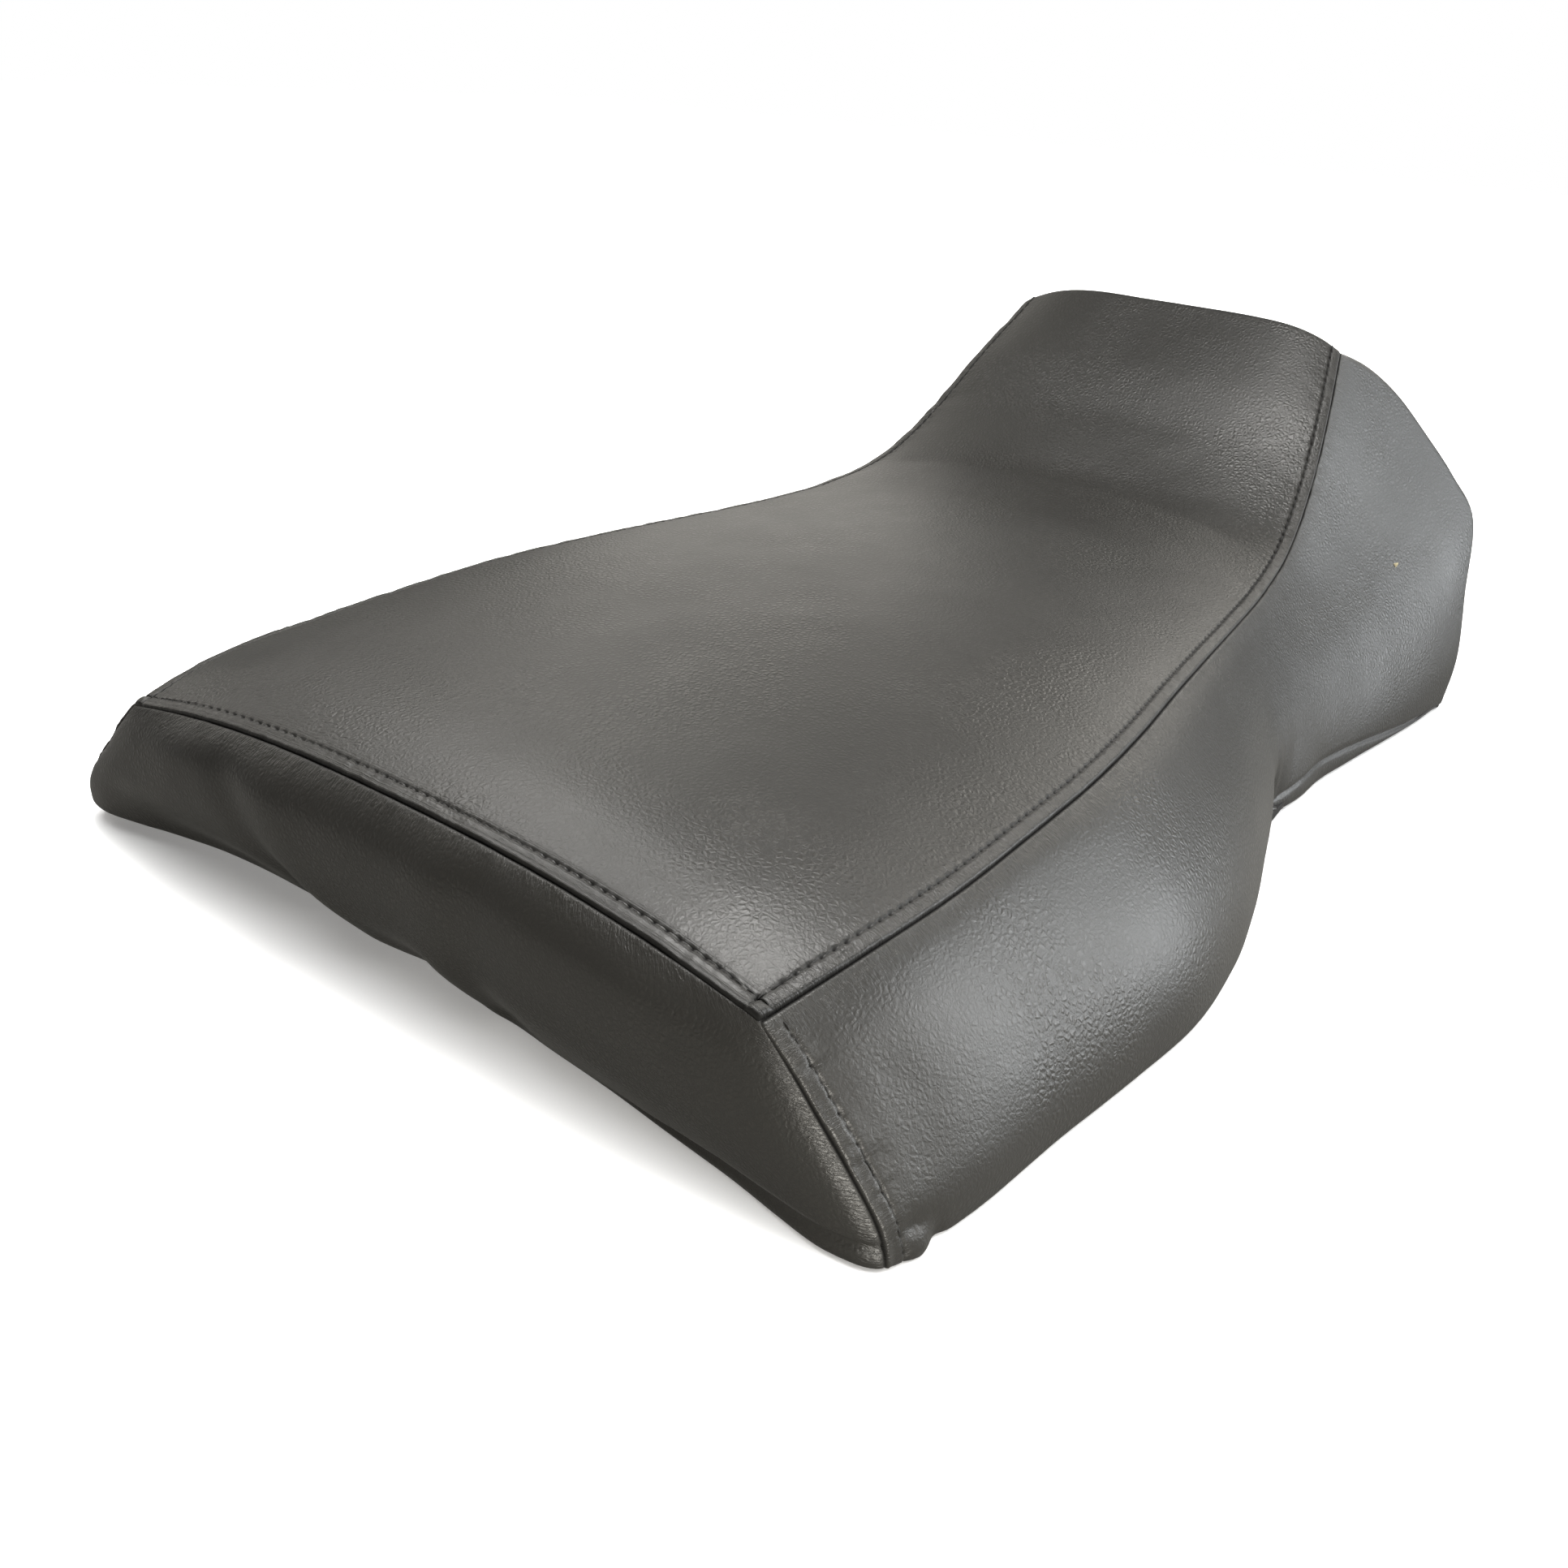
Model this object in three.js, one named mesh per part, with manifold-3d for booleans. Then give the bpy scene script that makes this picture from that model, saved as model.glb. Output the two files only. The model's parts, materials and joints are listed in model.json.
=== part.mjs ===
// Straddle seat for a small off-road motorcycle-type vehicle: sewn vinyl cover over a moulded foam
// cushion on an injection-moulded seat pan, with steel front tongues, rubber bumpers and a sprung
// rear latch that is released by a hand lever under the tail.
// Millimetres. +X is the rider's right, +Y is forward, +Z is up. The tables below measure y from
// the tail seam; the finished group is shifted back by MID_Y so that its origin is on the resting
// plane at the middle of the length and width.

import * as THREE from 'three';
import { mergeVertices } from 'three/addons/utils/BufferGeometryUtils.js';
import Module from 'manifold-3d';

const wasm = await Module();
wasm.setup();

// ---------------------------------------------------------------- driving dimensions
const MID_Y = 303.106;         // half way between the tail and the wing tips
const NOSE_Y = 560;            // crest of the nose; its wings sweep further forward
const COVER_T = 1.1;           // vinyl with its scrim backing
const COVER_GAP = 0.4;         // clearance kept between cover and foam
const FOAM_INSET = COVER_T + COVER_GAP;
const PAN_T = 3.0;             // wall of the moulded pan
const PAN_GAP = 0.35;          // clearance kept between foam and pan
const FLANGE_INSET = 1.9;      // flange edge and underside set back from the outer skin
const FLANGE_TOP = 5.0;        // top of the pan flange
const WRAP = 18;               // width of vinyl turned under the flange
const NOSE_BAND = 25;          // width of vinyl turned over the nose face
const SEAM_W = 0.36;           // gap at each sewn joint
const SEAM_REACH = 3;          // half depth of the ribbon that cuts a joint
const FIT = 0.3;               // clearance round fitted parts
const SIDES = [['right', 1], ['left', -1]];

// one row per station, tail to nose:
// seam x, y, z; base edge x, y; crown height of the top panel; crown exponent
const STATIONS = [
  [152.8,   4.2,  63.9, 200.0,   8.5, 15.0, 2.50],
  [160.2,  45.7,  71.0, 206.0,  46.0, 15.2, 2.50],
  [162.8,  89.7,  73.5, 208.8,  90.0, 15.0, 2.50],
  [162.5, 136.5,  76.5, 212.6, 137.0, 14.6, 2.45],
  [161.0, 183.0,  79.2, 214.8, 183.0, 14.3, 2.40],
  [156.0, 230.0,  81.0, 209.4, 229.0, 13.9, 2.35],
  [148.6, 277.0,  82.2, 198.6, 275.0, 13.2, 2.30],
  [141.2, 325.0,  82.6, 184.6, 321.0, 12.6, 2.30],
  [134.4, 373.0,  83.6, 173.2, 368.0, 12.2, 2.40],
  [128.6, 417.0,  86.8, 172.2, 414.0, 12.0, 2.70],
  [122.4, 459.5,  96.8, 176.4, 458.0, 12.8, 3.10],
  [115.1, 495.5, 119.6, 181.0, 497.0, 13.0, 3.70],
  [106.6, 525.5, 148.0, 184.6, 535.0, 13.0, 4.30],
  [ 94.8, NOSE_Y, 179.5, 187.0, 572.0, 12.7, 5.00],
];
const LAST_STATION = STATIONS.length - 1;

// side profile: station position, then nine [across, down] pairs, seam to base edge,
// as fractions of the sideways and downward run
const PROFILES = [
  [0.0, [[0, 0], [0.14, 0.095], [0.30, 0.21], [0.466, 0.347], [0.63, 0.48],
    [0.773, 0.61], [0.896, 0.734], [0.975, 0.864], [1, 1]]],
  [1.6, [[0, 0], [0.165, 0.095], [0.345, 0.208], [0.53, 0.34], [0.70, 0.475],
    [0.84, 0.61], [0.94, 0.745], [0.992, 0.875], [1, 1]]],
  [4.0, [[0, 0], [0.18, 0.085], [0.37, 0.19], [0.57, 0.31], [0.745, 0.44],
    [0.885, 0.585], [0.975, 0.735], [1.01, 0.88], [1, 1]]],
  [6.5, [[0, 0], [0.17, 0.085], [0.35, 0.185], [0.54, 0.295], [0.71, 0.42],
    [0.85, 0.56], [0.945, 0.71], [0.99, 0.86], [1, 1]]],
  [9.0, [[0, 0], [0.14, 0.085], [0.29, 0.18], [0.46, 0.285], [0.63, 0.40],
    [0.78, 0.53], [0.90, 0.68], [0.975, 0.84], [1, 1]]],
  [11.2, [[0, 0], [0.13, 0.095], [0.27, 0.20], [0.44, 0.31], [0.62, 0.42],
    [0.78, 0.54], [0.905, 0.69], [0.985, 0.85], [1, 1]]],
  [13.0, [[0, 0], [0.121, 0.047], [0.284, 0.125], [0.469, 0.231], [0.653, 0.343],
    [0.815, 0.46], [0.924, 0.655], [1.00, 0.844], [1, 1]]],
];
// forward sweep of the nose wings ahead of the crest, seam to base edge
const SWEEP = [0, 17.5, 30, 37.5, 43, 44.5, 24, 12.5, 0];
const SWEEP_START = 9;         // station where the sweep sets in
// base edge of the tail: x, y
const TAIL_BASE = [
  [0, 20], [50, 18.5], [100, 14.5], [140, 9.5], [165, 5.0],
  [180, 2.8], [192, 4.0], [197, 6.0], [200, 8.5],
];
const TAIL_SWELL = 9.0;        // how far the tail panel swells rearward
const CORNER_SWELL = 0.6;      // the same at the tail corners
const CORNER_REACH = 0.9;      // station where the corner swell has died out

// hollow under the pan, tail to nose:
// y, ceiling z, ceiling half width, shoulder half width, shoulder z, base half width
const HOLLOW = [
  [ 44,  24, 112, 160, 10, 172],
  [ 60,  27, 122, 172, 11, 182],
  [120,  31, 128, 182, 13, 189],
  [190,  34, 127, 185, 14, 192],
  [250,  36, 121, 174, 15, 183],
  [310,  38, 112, 156, 17, 166],
  [370,  40, 103, 140, 20, 150],
  [415,  45,  98, 138, 28, 149],
  [455,  66,  91, 141, 48, 153],
  [495,  97,  83, 144, 72, 157],
  [530, 131,  75, 147, 92, 161],
  [562, 160,  66, 149, 108, 163],
  [640, 176,  66, 149, 108, 163],
];

// mesh divisions of the outer skin
const ALONG = 20;              // tail to nose
const HALF_ACROSS = 5;         // centre line to seam
const DOWN = 6;                // seam to base edge

// ---------------------------------------------------------------- numeric helpers
const vec = (x, y, z) => new THREE.Vector3(x, y, z);
const column = (table, index) => table.map((row) => row[index]);

// cubic Hermite through a table, end slopes one-sided, held constant beyond the ends
function spline(knots, values, t) {
  const last = knots.length - 1;
  if (t <= knots[0]) return values[0];
  if (t >= knots[last]) return values[last];
  let k = 0;
  while (t > knots[k + 1]) k++;
  const slope = (i) => {
    const before = Math.max(i - 1, 0);
    const after = Math.min(i + 1, last);
    return (values[after] - values[before]) / (knots[after] - knots[before]);
  };
  const span = knots[k + 1] - knots[k];
  const u = (t - knots[k]) / span;
  const u2 = u * u;
  const u3 = u2 * u;
  return (2 * u3 - 3 * u2 + 1) * values[k] + (u3 - 2 * u2 + u) * (slope(k) * span)
    + (-2 * u3 + 3 * u2) * values[k + 1] + (u3 - u2) * (slope(k + 1) * span);
}

// unit direction along a run of points, by its neighbours
function tangentAt(points, i) {
  const next = points[Math.min(i + 1, points.length - 1)];
  return next.clone().sub(points[Math.max(i - 1, 0)]).normalize();
}

// ---------------------------------------------------------------- outer skin surfaces
// s is the station position, 0 at the tail; r runs from 0 at the seam to 1 at the base edge
const STATION_INDEX = STATIONS.map((_, i) => i);
const STATION_COLUMNS = STATIONS[0].map((_, i) => column(STATIONS, i));
const EIGHTHS = SWEEP.map((_, i) => i / 8);
const PROFILE_STATIONS = column(PROFILES, 0);

function station(s) {
  const values = STATION_COLUMNS.map((c) => spline(STATION_INDEX, c, s));
  const [seamX, seamY, seamZ, baseX, baseY, crown, power] = values;
  return { seamX, seamY, seamZ, baseX, baseY, crown, power };
}
const stationAt = (j) => LAST_STATION * j / ALONG;

function profile(s, r) {
  return [0, 1].map((axis) => {
    const fractions = PROFILES.map(([, pairs]) => spline(EIGHTHS, column(pairs, axis), r));
    return spline(PROFILE_STATIONS, fractions, s);
  });
}

const tailEdge = (x) => spline(column(TAIL_BASE, 0), column(TAIL_BASE, 1), Math.abs(x));

function topPoint(s, q) {               // q = -1 left seam .. 1 right seam
  const { seamX, seamY, seamZ, crown, power } = station(s);
  return vec(seamX * q, seamY, seamZ + crown * (1 - Math.pow(Math.abs(q), power)));
}

function sidePoint(s, r, sign = 1) {
  const { seamX, seamY, seamZ, baseX, baseY } = station(s);
  const [across, down] = profile(s, r);
  let y = seamY + (baseY - seamY) * r;
  const cornerSwell = CORNER_SWELL * Math.sin(Math.PI * Math.pow(r, 0.9));
  y -= cornerSwell * Math.max(0, 1 - s / CORNER_REACH) ** 2;
  if (s > SWEEP_START) {
    const reach = (s - SWEEP_START) / (LAST_STATION - SWEEP_START);
    y += spline(EIGHTHS, SWEEP, r) * reach ** 1.6;
  }
  return vec(sign * (seamX + (baseX - seamX) * across), y, seamZ * (1 - down));
}

// tail panel, blended from its four edges; q as in topPoint
function tailPoint(q, r) {
  const a = Math.abs(q);
  const sign = Math.sign(q) || 1;
  const corner = sidePoint(0, r);
  if (a === 1) return vec(sign * corner.x, corner.y, corner.z);
  const top = topPoint(0, q);
  if (r === 0) return top;
  const seamEnd = sidePoint(0, 0);
  const baseEnd = sidePoint(0, 1);
  const baseY = tailEdge(a * baseEnd.x);
  const across = (corner.x - seamEnd.x) / (baseEnd.x - seamEnd.x);
  const x = a * (seamEnd.x + (baseEnd.x - seamEnd.x) * across);
  const z = top.z * (corner.z / seamEnd.z);
  const cornerY = corner.y - (seamEnd.y + (baseEnd.y - seamEnd.y) * r);
  const nearCorner = a * a * a;
  const blend = r * r * (1 - nearCorner) + r * nearCorner;
  const flatY = top.y + (baseY - top.y) * blend;
  const swell = TAIL_SWELL * Math.sin(Math.PI * Math.pow(r, 0.8)) * (1 - nearCorner);
  return vec(sign * x, flatY + cornerY * nearCorner - swell, z);
}

// ---------------------------------------------------------------- solids
function solidFromMesh(points, triangles) {
  return new wasm.Manifold(new wasm.Mesh({
    numProp: 3,
    vertProperties: new Float32Array(points.flatMap((p) => [p.x, p.y, p.z])),
    triVerts: new Uint32Array(triangles.flat()),
  }));
}

function solidFromGeometry(geometry) {
  geometry.deleteAttribute('normal');
  geometry.deleteAttribute('uv');
  const merged = mergeVertices(geometry, 1e-4);
  return new wasm.Manifold(new wasm.Mesh({
    numProp: 3,
    vertProperties: new Float32Array(merged.attributes.position.array),
    triVerts: new Uint32Array(merged.index.array),
  }));
}

function geometryFromSolid(solid) {
  const mesh = solid.getMesh();
  const geometry = new THREE.BufferGeometry();
  const positions = new Float32Array(mesh.vertProperties);
  geometry.setAttribute('position', new THREE.BufferAttribute(positions, 3));
  geometry.setIndex(new THREE.BufferAttribute(new Uint32Array(mesh.triVerts), 1));
  return geometry;
}

function box(x0, y0, z0, x1, y1, z1) {
  const geometry = new THREE.BoxGeometry(x1 - x0, y1 - y0, z1 - z0);
  geometry.translate((x0 + x1) / 2, (y0 + y1) / 2, (z0 + z1) / 2);
  return solidFromGeometry(geometry);
}

const toVectors = (pairs) => pairs.map(([x, y]) => new THREE.Vector2(x, y));

// [radius, z] profile turned about +Z
const turnedGeometry = (pairs, segments) =>
  new THREE.LatheGeometry(toVectors(pairs), segments).rotateX(Math.PI / 2);
const turned = (pairs, segments) => solidFromGeometry(turnedGeometry(pairs, segments));

function cylinder(x, y, z0, z1, radius, segments = 12) {
  const height = z1 - z0;
  const pairs = [[0, 0], [radius, 0], [radius, height], [0, height]];
  return solidFromGeometry(turnedGeometry(pairs, segments).translate(x, y, z0));
}

const extruded = (pairs, depth) =>
  new THREE.ExtrudeGeometry(new THREE.Shape(toVectors(pairs)), { depth, bevelEnabled: false });

// loft through closed rings of equal length, with end caps fanned about their centres
function loft(rings) {
  const points = rings.flat();
  const triangles = [];
  const n = rings[0].length;
  for (let k = 0; k + 1 < rings.length; k++) {
    for (let i = 0; i < n; i++) {
      const a = k * n + i;
      const b = k * n + (i + 1) % n;
      triangles.push([a, b, b + n], [a, b + n, a + n]);
    }
  }
  const cap = (k, flip) => {
    const centre = vec(0, 0, 0);
    rings[k].forEach((p) => centre.add(p));
    const hub = points.length;
    points.push(centre.multiplyScalar(1 / n));
    for (let i = 0; i < n; i++) {
      const a = k * n + i;
      const b = k * n + (i + 1) % n;
      triangles.push(flip ? [hub, b, a] : [hub, a, b]);
    }
  };
  cap(0, true);
  cap(rings.length - 1, false);
  const solid = solidFromMesh(points, triangles);
  if (solid.volume() >= 0) return solid;
  return solidFromMesh(points, triangles.map(([a, b, c]) => [a, c, b]));
}

// ---------------------------------------------------------------- closed body of the outer skin
// least-norm move that backs off every adjoining patch by the inset
function insetMove(normals, inset) {
  const matrix = [[1e-3, 0, 0], [0, 1e-3, 0], [0, 0, 1e-3]];
  const target = [0, 0, 0];
  for (const normal of normals) {
    const n = normal.toArray();
    for (let u = 0; u < 3; u++) {
      target[u] -= inset * n[u];
      for (let v = 0; v < 3; v++) matrix[u][v] += n[u] * n[v];
    }
  }
  return vec(...target).applyMatrix3(new THREE.Matrix3().set(...matrix.flat()).invert());
}

function insetPoints(points, triangles, patches, inset) {
  const normals = points.map(() => ({}));      // per vertex, one summed normal for each patch
  triangles.forEach(([a, b, c], t) => {
    const ab = points[b].clone().sub(points[a]);
    const n = ab.cross(points[c].clone().sub(points[a]));
    for (const i of [a, b, c]) (normals[i][patches[t]] ??= vec(0, 0, 0)).add(n);
  });
  return points.map((p, i) => {
    const unit = Object.values(normals[i]).map((n) => n.normalize());
    return p.clone().add(insetMove(unit, inset));
  });
}

function buildHull(inset) {
  const points = [];
  const indexOf = new Map();
  const triangles = [];
  const patches = [];                          // patch name of each triangle
  const addPoint = (p) => {
    const key = p.toArray().map((c) => c.toFixed(4)).join();
    if (!indexOf.has(key)) {
      indexOf.set(key, points.length);
      points.push(p);
    }
    return indexOf.get(key);
  };
  const addTriangle = (a, b, c, patch) => {
    if (a === b || b === c || a === c) return;
    triangles.push([a, b, c]);
    patches.push(patch);
  };
  const grid = (pointAt, rows, columns, patch, flip) => {
    const ids = [];
    for (let i = 0; i <= rows; i++) {
      ids.push([]);
      for (let j = 0; j <= columns; j++) ids[i].push(addPoint(pointAt(i, j)));
    }
    for (let i = 0; i < rows; i++) {
      for (let j = 0; j < columns; j++) {
        const [a, b, c, d] = [ids[i][j], ids[i + 1][j], ids[i + 1][j + 1], ids[i][j + 1]];
        if (flip) {
          addTriangle(a, c, b, patch);
          addTriangle(a, d, c, patch);
        } else {
          addTriangle(a, b, c, patch);
          addTriangle(a, c, d, patch);
        }
      }
    }
    return ids;
  };
  const across = (i) => -1 + i / HALF_ACROSS;
  const sideAt = (sign) => (i, j) => sidePoint(stationAt(j), i / DOWN, sign);
  const topAt = (i, j) => topPoint(stationAt(j), across(i));
  const tailAt = (i, j) => tailPoint(across(i), j / DOWN);
  const top = grid(topAt, 2 * HALF_ACROSS, ALONG, 'top', false);
  const right = grid(sideAt(1), DOWN, ALONG, 'right', false);
  const left = grid(sideAt(-1), DOWN, ALONG, 'left', true);
  const tail = grid(tailAt, 2 * HALF_ACROSS, DOWN, 'tail', true);

  const cap = (loop, project, patch, outward) => {
    const flat = loop.map((i) => project(points[i]));
    for (const face of THREE.ShapeUtils.triangulateShape(flat, [])) {
      const [a, b, c] = face.map((i) => loop[i]);
      const ab = points[b].clone().sub(points[a]);
      const n = ab.cross(points[c].clone().sub(points[a]));
      if (n.dot(outward) > 0) addTriangle(a, b, c, patch);
      else addTriangle(a, c, b, patch);
    }
  };
  const base = [
    ...tail.map((ids) => ids[DOWN]),
    ...right[DOWN].slice(1),
    ...left[DOWN].slice(1).reverse(),
  ];
  cap(base, (p) => new THREE.Vector2(p.x, p.y), 'base', vec(0, 0, -1));
  // nose face: flat under the crest, then strips down between the wings
  const crest = top.map((ids) => ids[ALONG]);
  cap(crest, (p) => new THREE.Vector2(p.x, p.z), 'nose', vec(0, 1, 0));
  for (let i = 0; i < DOWN; i++) {
    const a = left[i][ALONG];
    const c = right[i + 1][ALONG];
    addTriangle(a, right[i][ALONG], c, 'nose');
    addTriangle(a, c, left[i + 1][ALONG], 'nose');
  }
  const placed = inset > 0 ? insetPoints(points, triangles, patches, inset) : points;
  return { points: placed, solid: solidFromMesh(placed, triangles), right, left, tail };
}

const outerHull = buildHull(0);
const foamHull = buildHull(FOAM_INSET);

// ---------------------------------------------------------------- hollow and foam
// hollow of the pan, grown outward by an amount
function hollow(grow) {
  const NOSE_ROW = 7;                          // the flank fills out ahead of this row
  const rings = HOLLOW.map(([rowY, ceilingZ, ceilingX, shoulderX, shoulderZ, baseX], i) => {
    let y = rowY;
    if (i === 0) y -= grow;
    if (i === HOLLOW.length - 1) y += grow;
    const flankRise = i > NOSE_ROW ? (i - NOSE_ROW) * 1.6 : 0;
    const flankZ = (ceilingZ - 6) * 0.42 + shoulderZ * 0.58 + grow * 0.8 + flankRise;
    const half = [                             // x, z from the centre line down to the base
      [0, ceilingZ + grow],
      [ceilingX * 0.5, ceilingZ - 0.8 + grow],
      [ceilingX * 0.85 + grow * 0.2, ceilingZ - 2.5 + grow * 0.97],
      [ceilingX + grow * 0.5, ceilingZ - 6 + grow * 0.85],
      [(ceilingX + shoulderX) / 2 + grow * 0.5, flankZ],
      [shoulderX + grow * 0.9, shoulderZ + grow * 0.42],
      [(shoulderX * 0.4 + baseX * 0.6) + grow, shoulderZ * 0.45],
      [baseX + grow, -8],
    ];
    const mirrored = half.slice(1).reverse().map(([x, z]) => [-x, z]);
    return [...half, ...mirrored].map(([x, z]) => vec(x, y, z));
  });
  return loft(rings);
}

// slab wider and longer than the seat
const slab = (z0, z1) => box(-260, -20, z0, 260, 660, z1);

const makeFoam = () => foamHull.solid
  .subtract(hollow(PAN_T + PAN_GAP))
  .subtract(slab(-20, FLANGE_TOP + PAN_GAP));

// ---------------------------------------------------------------- cover
// opening left inside the turned-under edge, anticlockwise from the tail left
function makeBaseOpening() {
  const HALF_DEPTH = 3;
  const frontY = NOSE_Y - WRAP;
  const tailX = 200 - WRAP * 1.15;
  const rear = [];
  for (let i = 0; i <= 12; i++) {
    const x = tailX * (i / 6 - 1);
    rear.push([x, tailEdge(x) + WRAP]);
  }
  const side = [];
  for (let j = 0; j <= ALONG; j++) {
    const { baseX, baseY } = station(stationAt(j));
    if (baseY > WRAP + 32 && baseY < frontY - 6) side.push([baseX - WRAP, baseY]);
  }
  side.push([STATIONS[LAST_STATION][3] - WRAP, frontY]);
  const mirrored = side.map(([x, y]) => [-x, y]).reverse();
  const opening = extruded([...rear, ...side, ...mirrored], 2 * HALF_DEPTH);
  return solidFromGeometry(opening.translate(0, 0, -HALF_DEPTH));
}

// mouth of the nose: a tunnel set in from the outer edge by the turned-over band
function makeNoseOpening() {
  const edge = [];                             // x, z up the right side and in to the centre
  for (let i = 0; i <= DOWN; i++) {
    const p = sidePoint(LAST_STATION, 1 - i / DOWN);
    edge.push([p.x, p.z]);
  }
  for (let i = 1; i <= HALF_ACROSS; i++) {
    const p = topPoint(LAST_STATION, 1 - i / HALF_ACROSS);
    edge.push([p.x, p.z]);
  }
  const last = edge.length - 1;
  const half = edge.map(([x, z], i) => {
    const before = edge[Math.max(0, i - 1)];
    const after = i < last ? edge[i + 1] : [-edge[last - 1][0], edge[last - 1][1]];
    const length = Math.hypot(after[0] - before[0], after[1] - before[1]);
    const outX = (after[1] - before[1]) / length;
    const outZ = -(after[0] - before[0]) / length;
    return [x - outX * NOSE_BAND, i === 0 ? -4 : z - outZ * NOSE_BAND];
  });
  const mirrored = half.slice(0, last).reverse().map(([x, z]) => [-x, z]);
  const tunnel = extruded([...half, ...mirrored], 110);
  return solidFromGeometry(tunnel.rotateX(Math.PI / 2).translate(0, NOSE_Y + 90, 0));
}

// thin ribbon that parts the skin along a sewn joint
function ribbon({ points, inward }) {
  return loft(points.map((p, i) => {
    const across = tangentAt(points, i).cross(inward[i]).normalize().multiplyScalar(SEAM_W / 2);
    const deep = inward[i].clone().multiplyScalar(SEAM_REACH);
    const outer = p.clone().sub(deep);
    const inner = p.clone().add(deep);
    return [
      outer.clone().sub(across), outer.clone().add(across),
      inner.clone().add(across), inner.clone().sub(across),
    ];
  }));
}

// a line of outer hull points with their inward directions
const jointRun = (ids) => ({
  points: ids.map((i) => outerHull.points[i].clone()),
  inward: ids.map((i) => foamHull.points[i].clone().sub(outerHull.points[i]).normalize()),
});

const beyond = (end, neighbour, length) =>
  end.clone().add(end.clone().sub(neighbour).normalize().multiplyScalar(length));

function extendStart({ points, inward }, length) {
  points.unshift(beyond(points[0], points[1], length));
  inward.unshift(inward[0].clone());
}

function extendEnd({ points, inward }, length) {
  points.push(beyond(points.at(-1), points.at(-2), length));
  inward.push(inward.at(-1).clone());
}

// joint between top and side panel, carried on across the turned-over nose band
function cutSideSeam(skin, side, sign) {
  const seam = jointRun(outerHull[side][0]);
  const noseEnd = seam.points.at(-1);
  extendStart(seam, 0.9);
  extendEnd(seam, 2.5);
  const bandCut = box(-2.5, -4, -SEAM_W / 2, NOSE_BAND + 12, 90, SEAM_W / 2)
    .rotate([0, 90 + sign * 38.5, 0])
    .translate(noseEnd.toArray());
  return skin.subtract(ribbon(seam)).subtract(bandCut);
}

// joint between tail and side panel, carried on across the turned-under edge
function cutCornerSeam(skin, side, sign) {
  const corner = jointRun(column(outerHull[side], 0));
  extendStart(corner, 1.4);
  const underside = vec(-sign * 0.72, 0.69, 0).multiplyScalar(WRAP + 12);
  corner.points.push(corner.points.at(-1).clone().add(underside));
  corner.inward.push(vec(0, 0, 1));
  return skin.subtract(ribbon(corner));
}

function panelName(solid) {
  const { min, max } = solid.boundingBox();
  const centreX = (min[0] + max[0]) / 2;
  if (centreX > 60) return 'cover_side_panel_right';
  if (centreX < -60) return 'cover_side_panel_left';
  return max[1] > 200 ? 'cover_top_panel' : 'cover_tail_panel';
}

function makeCoverPanels() {
  const SMALLEST_PANEL = 500;                  // volume; smaller pieces are offcuts
  let skin = outerHull.solid.subtract(buildHull(COVER_T).solid)
    .subtract(makeBaseOpening())
    .subtract(makeNoseOpening());
  for (const [side, sign] of SIDES) {
    skin = cutSideSeam(skin, side, sign);
    skin = cutCornerSeam(skin, side, sign);
  }
  const tailSeam = jointRun(column(outerHull.tail, 0));
  extendStart(tailSeam, 0.9);
  extendEnd(tailSeam, 0.9);
  skin = skin.subtract(ribbon(tailSeam));

  const panels = {};
  for (const piece of skin.decompose()) {
    if (piece.volume() > SMALLEST_PANEL) panels[panelName(piece)] = piece;
  }
  for (const side of ['left', 'right']) {
    const name = 'cover_side_panel_' + side;
    panels[name] = panels[name].subtract(panels.cover_tail_panel);
  }
  return panels;
}

const largestPiece = (solid) =>
  solid.decompose().reduce((a, b) => (b.volume() > a.volume() ? b : a));

// ---------------------------------------------------------------- pan with ribs, posts and bosses
const RIB_T = 2.4;
const RIB_H = 9;
const RIB_Z0 = 8;
const LONG_RIB = { x: 54.7, y0: 60, y1: 556, z1: 200 };   // x is the outer face
const CROSS_RIBS = [                    // y of the rear face, half width, top z
  [160, 170, 60], [290, 160, 60], [432, 130, 120], [500, 130, 160],
];

const BUMPERS = [['tail', 138, 78], ['mid', 132, 230], ['front', 92, 372]].flatMap(
  ([place, x, y]) => SIDES.map(([side, sign]) => [place + '_' + side, sign * x, y]));
const BUMPER_R = 11;
const BUMPER_Z0 = 1.5;
const POST_Z = 10;                      // underside of the bumper posts

const INSERT_R = 4.2;
const SCREW_R = 2.6;
const TONGUE_X = 44;
const TONGUE_Z = 24;                    // top of the tongue, which lies under its bosses
const TONGUE_T = 3;
const TONGUE_SCREWS = [['rear', 352], ['front', 384]];
const TONGUE_INSERT_H = 10;

const LATCH_Y = 122;                    // pivot axis, on the centre line
const BRACKET_Z0 = 14.2;
const BRACKET_T = 2.5;
const BRACKET_TOP = BRACKET_Z0 + BRACKET_T;
const LATCH_SCREWS = [['rear', -16], ['front', 16]].flatMap(([place, offset]) => [
  [place + '_left', -22, LATCH_Y + offset],
  [place + '_right', 22, LATCH_Y + offset],
]);
const LATCH_INSERT_H = 8;

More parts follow.
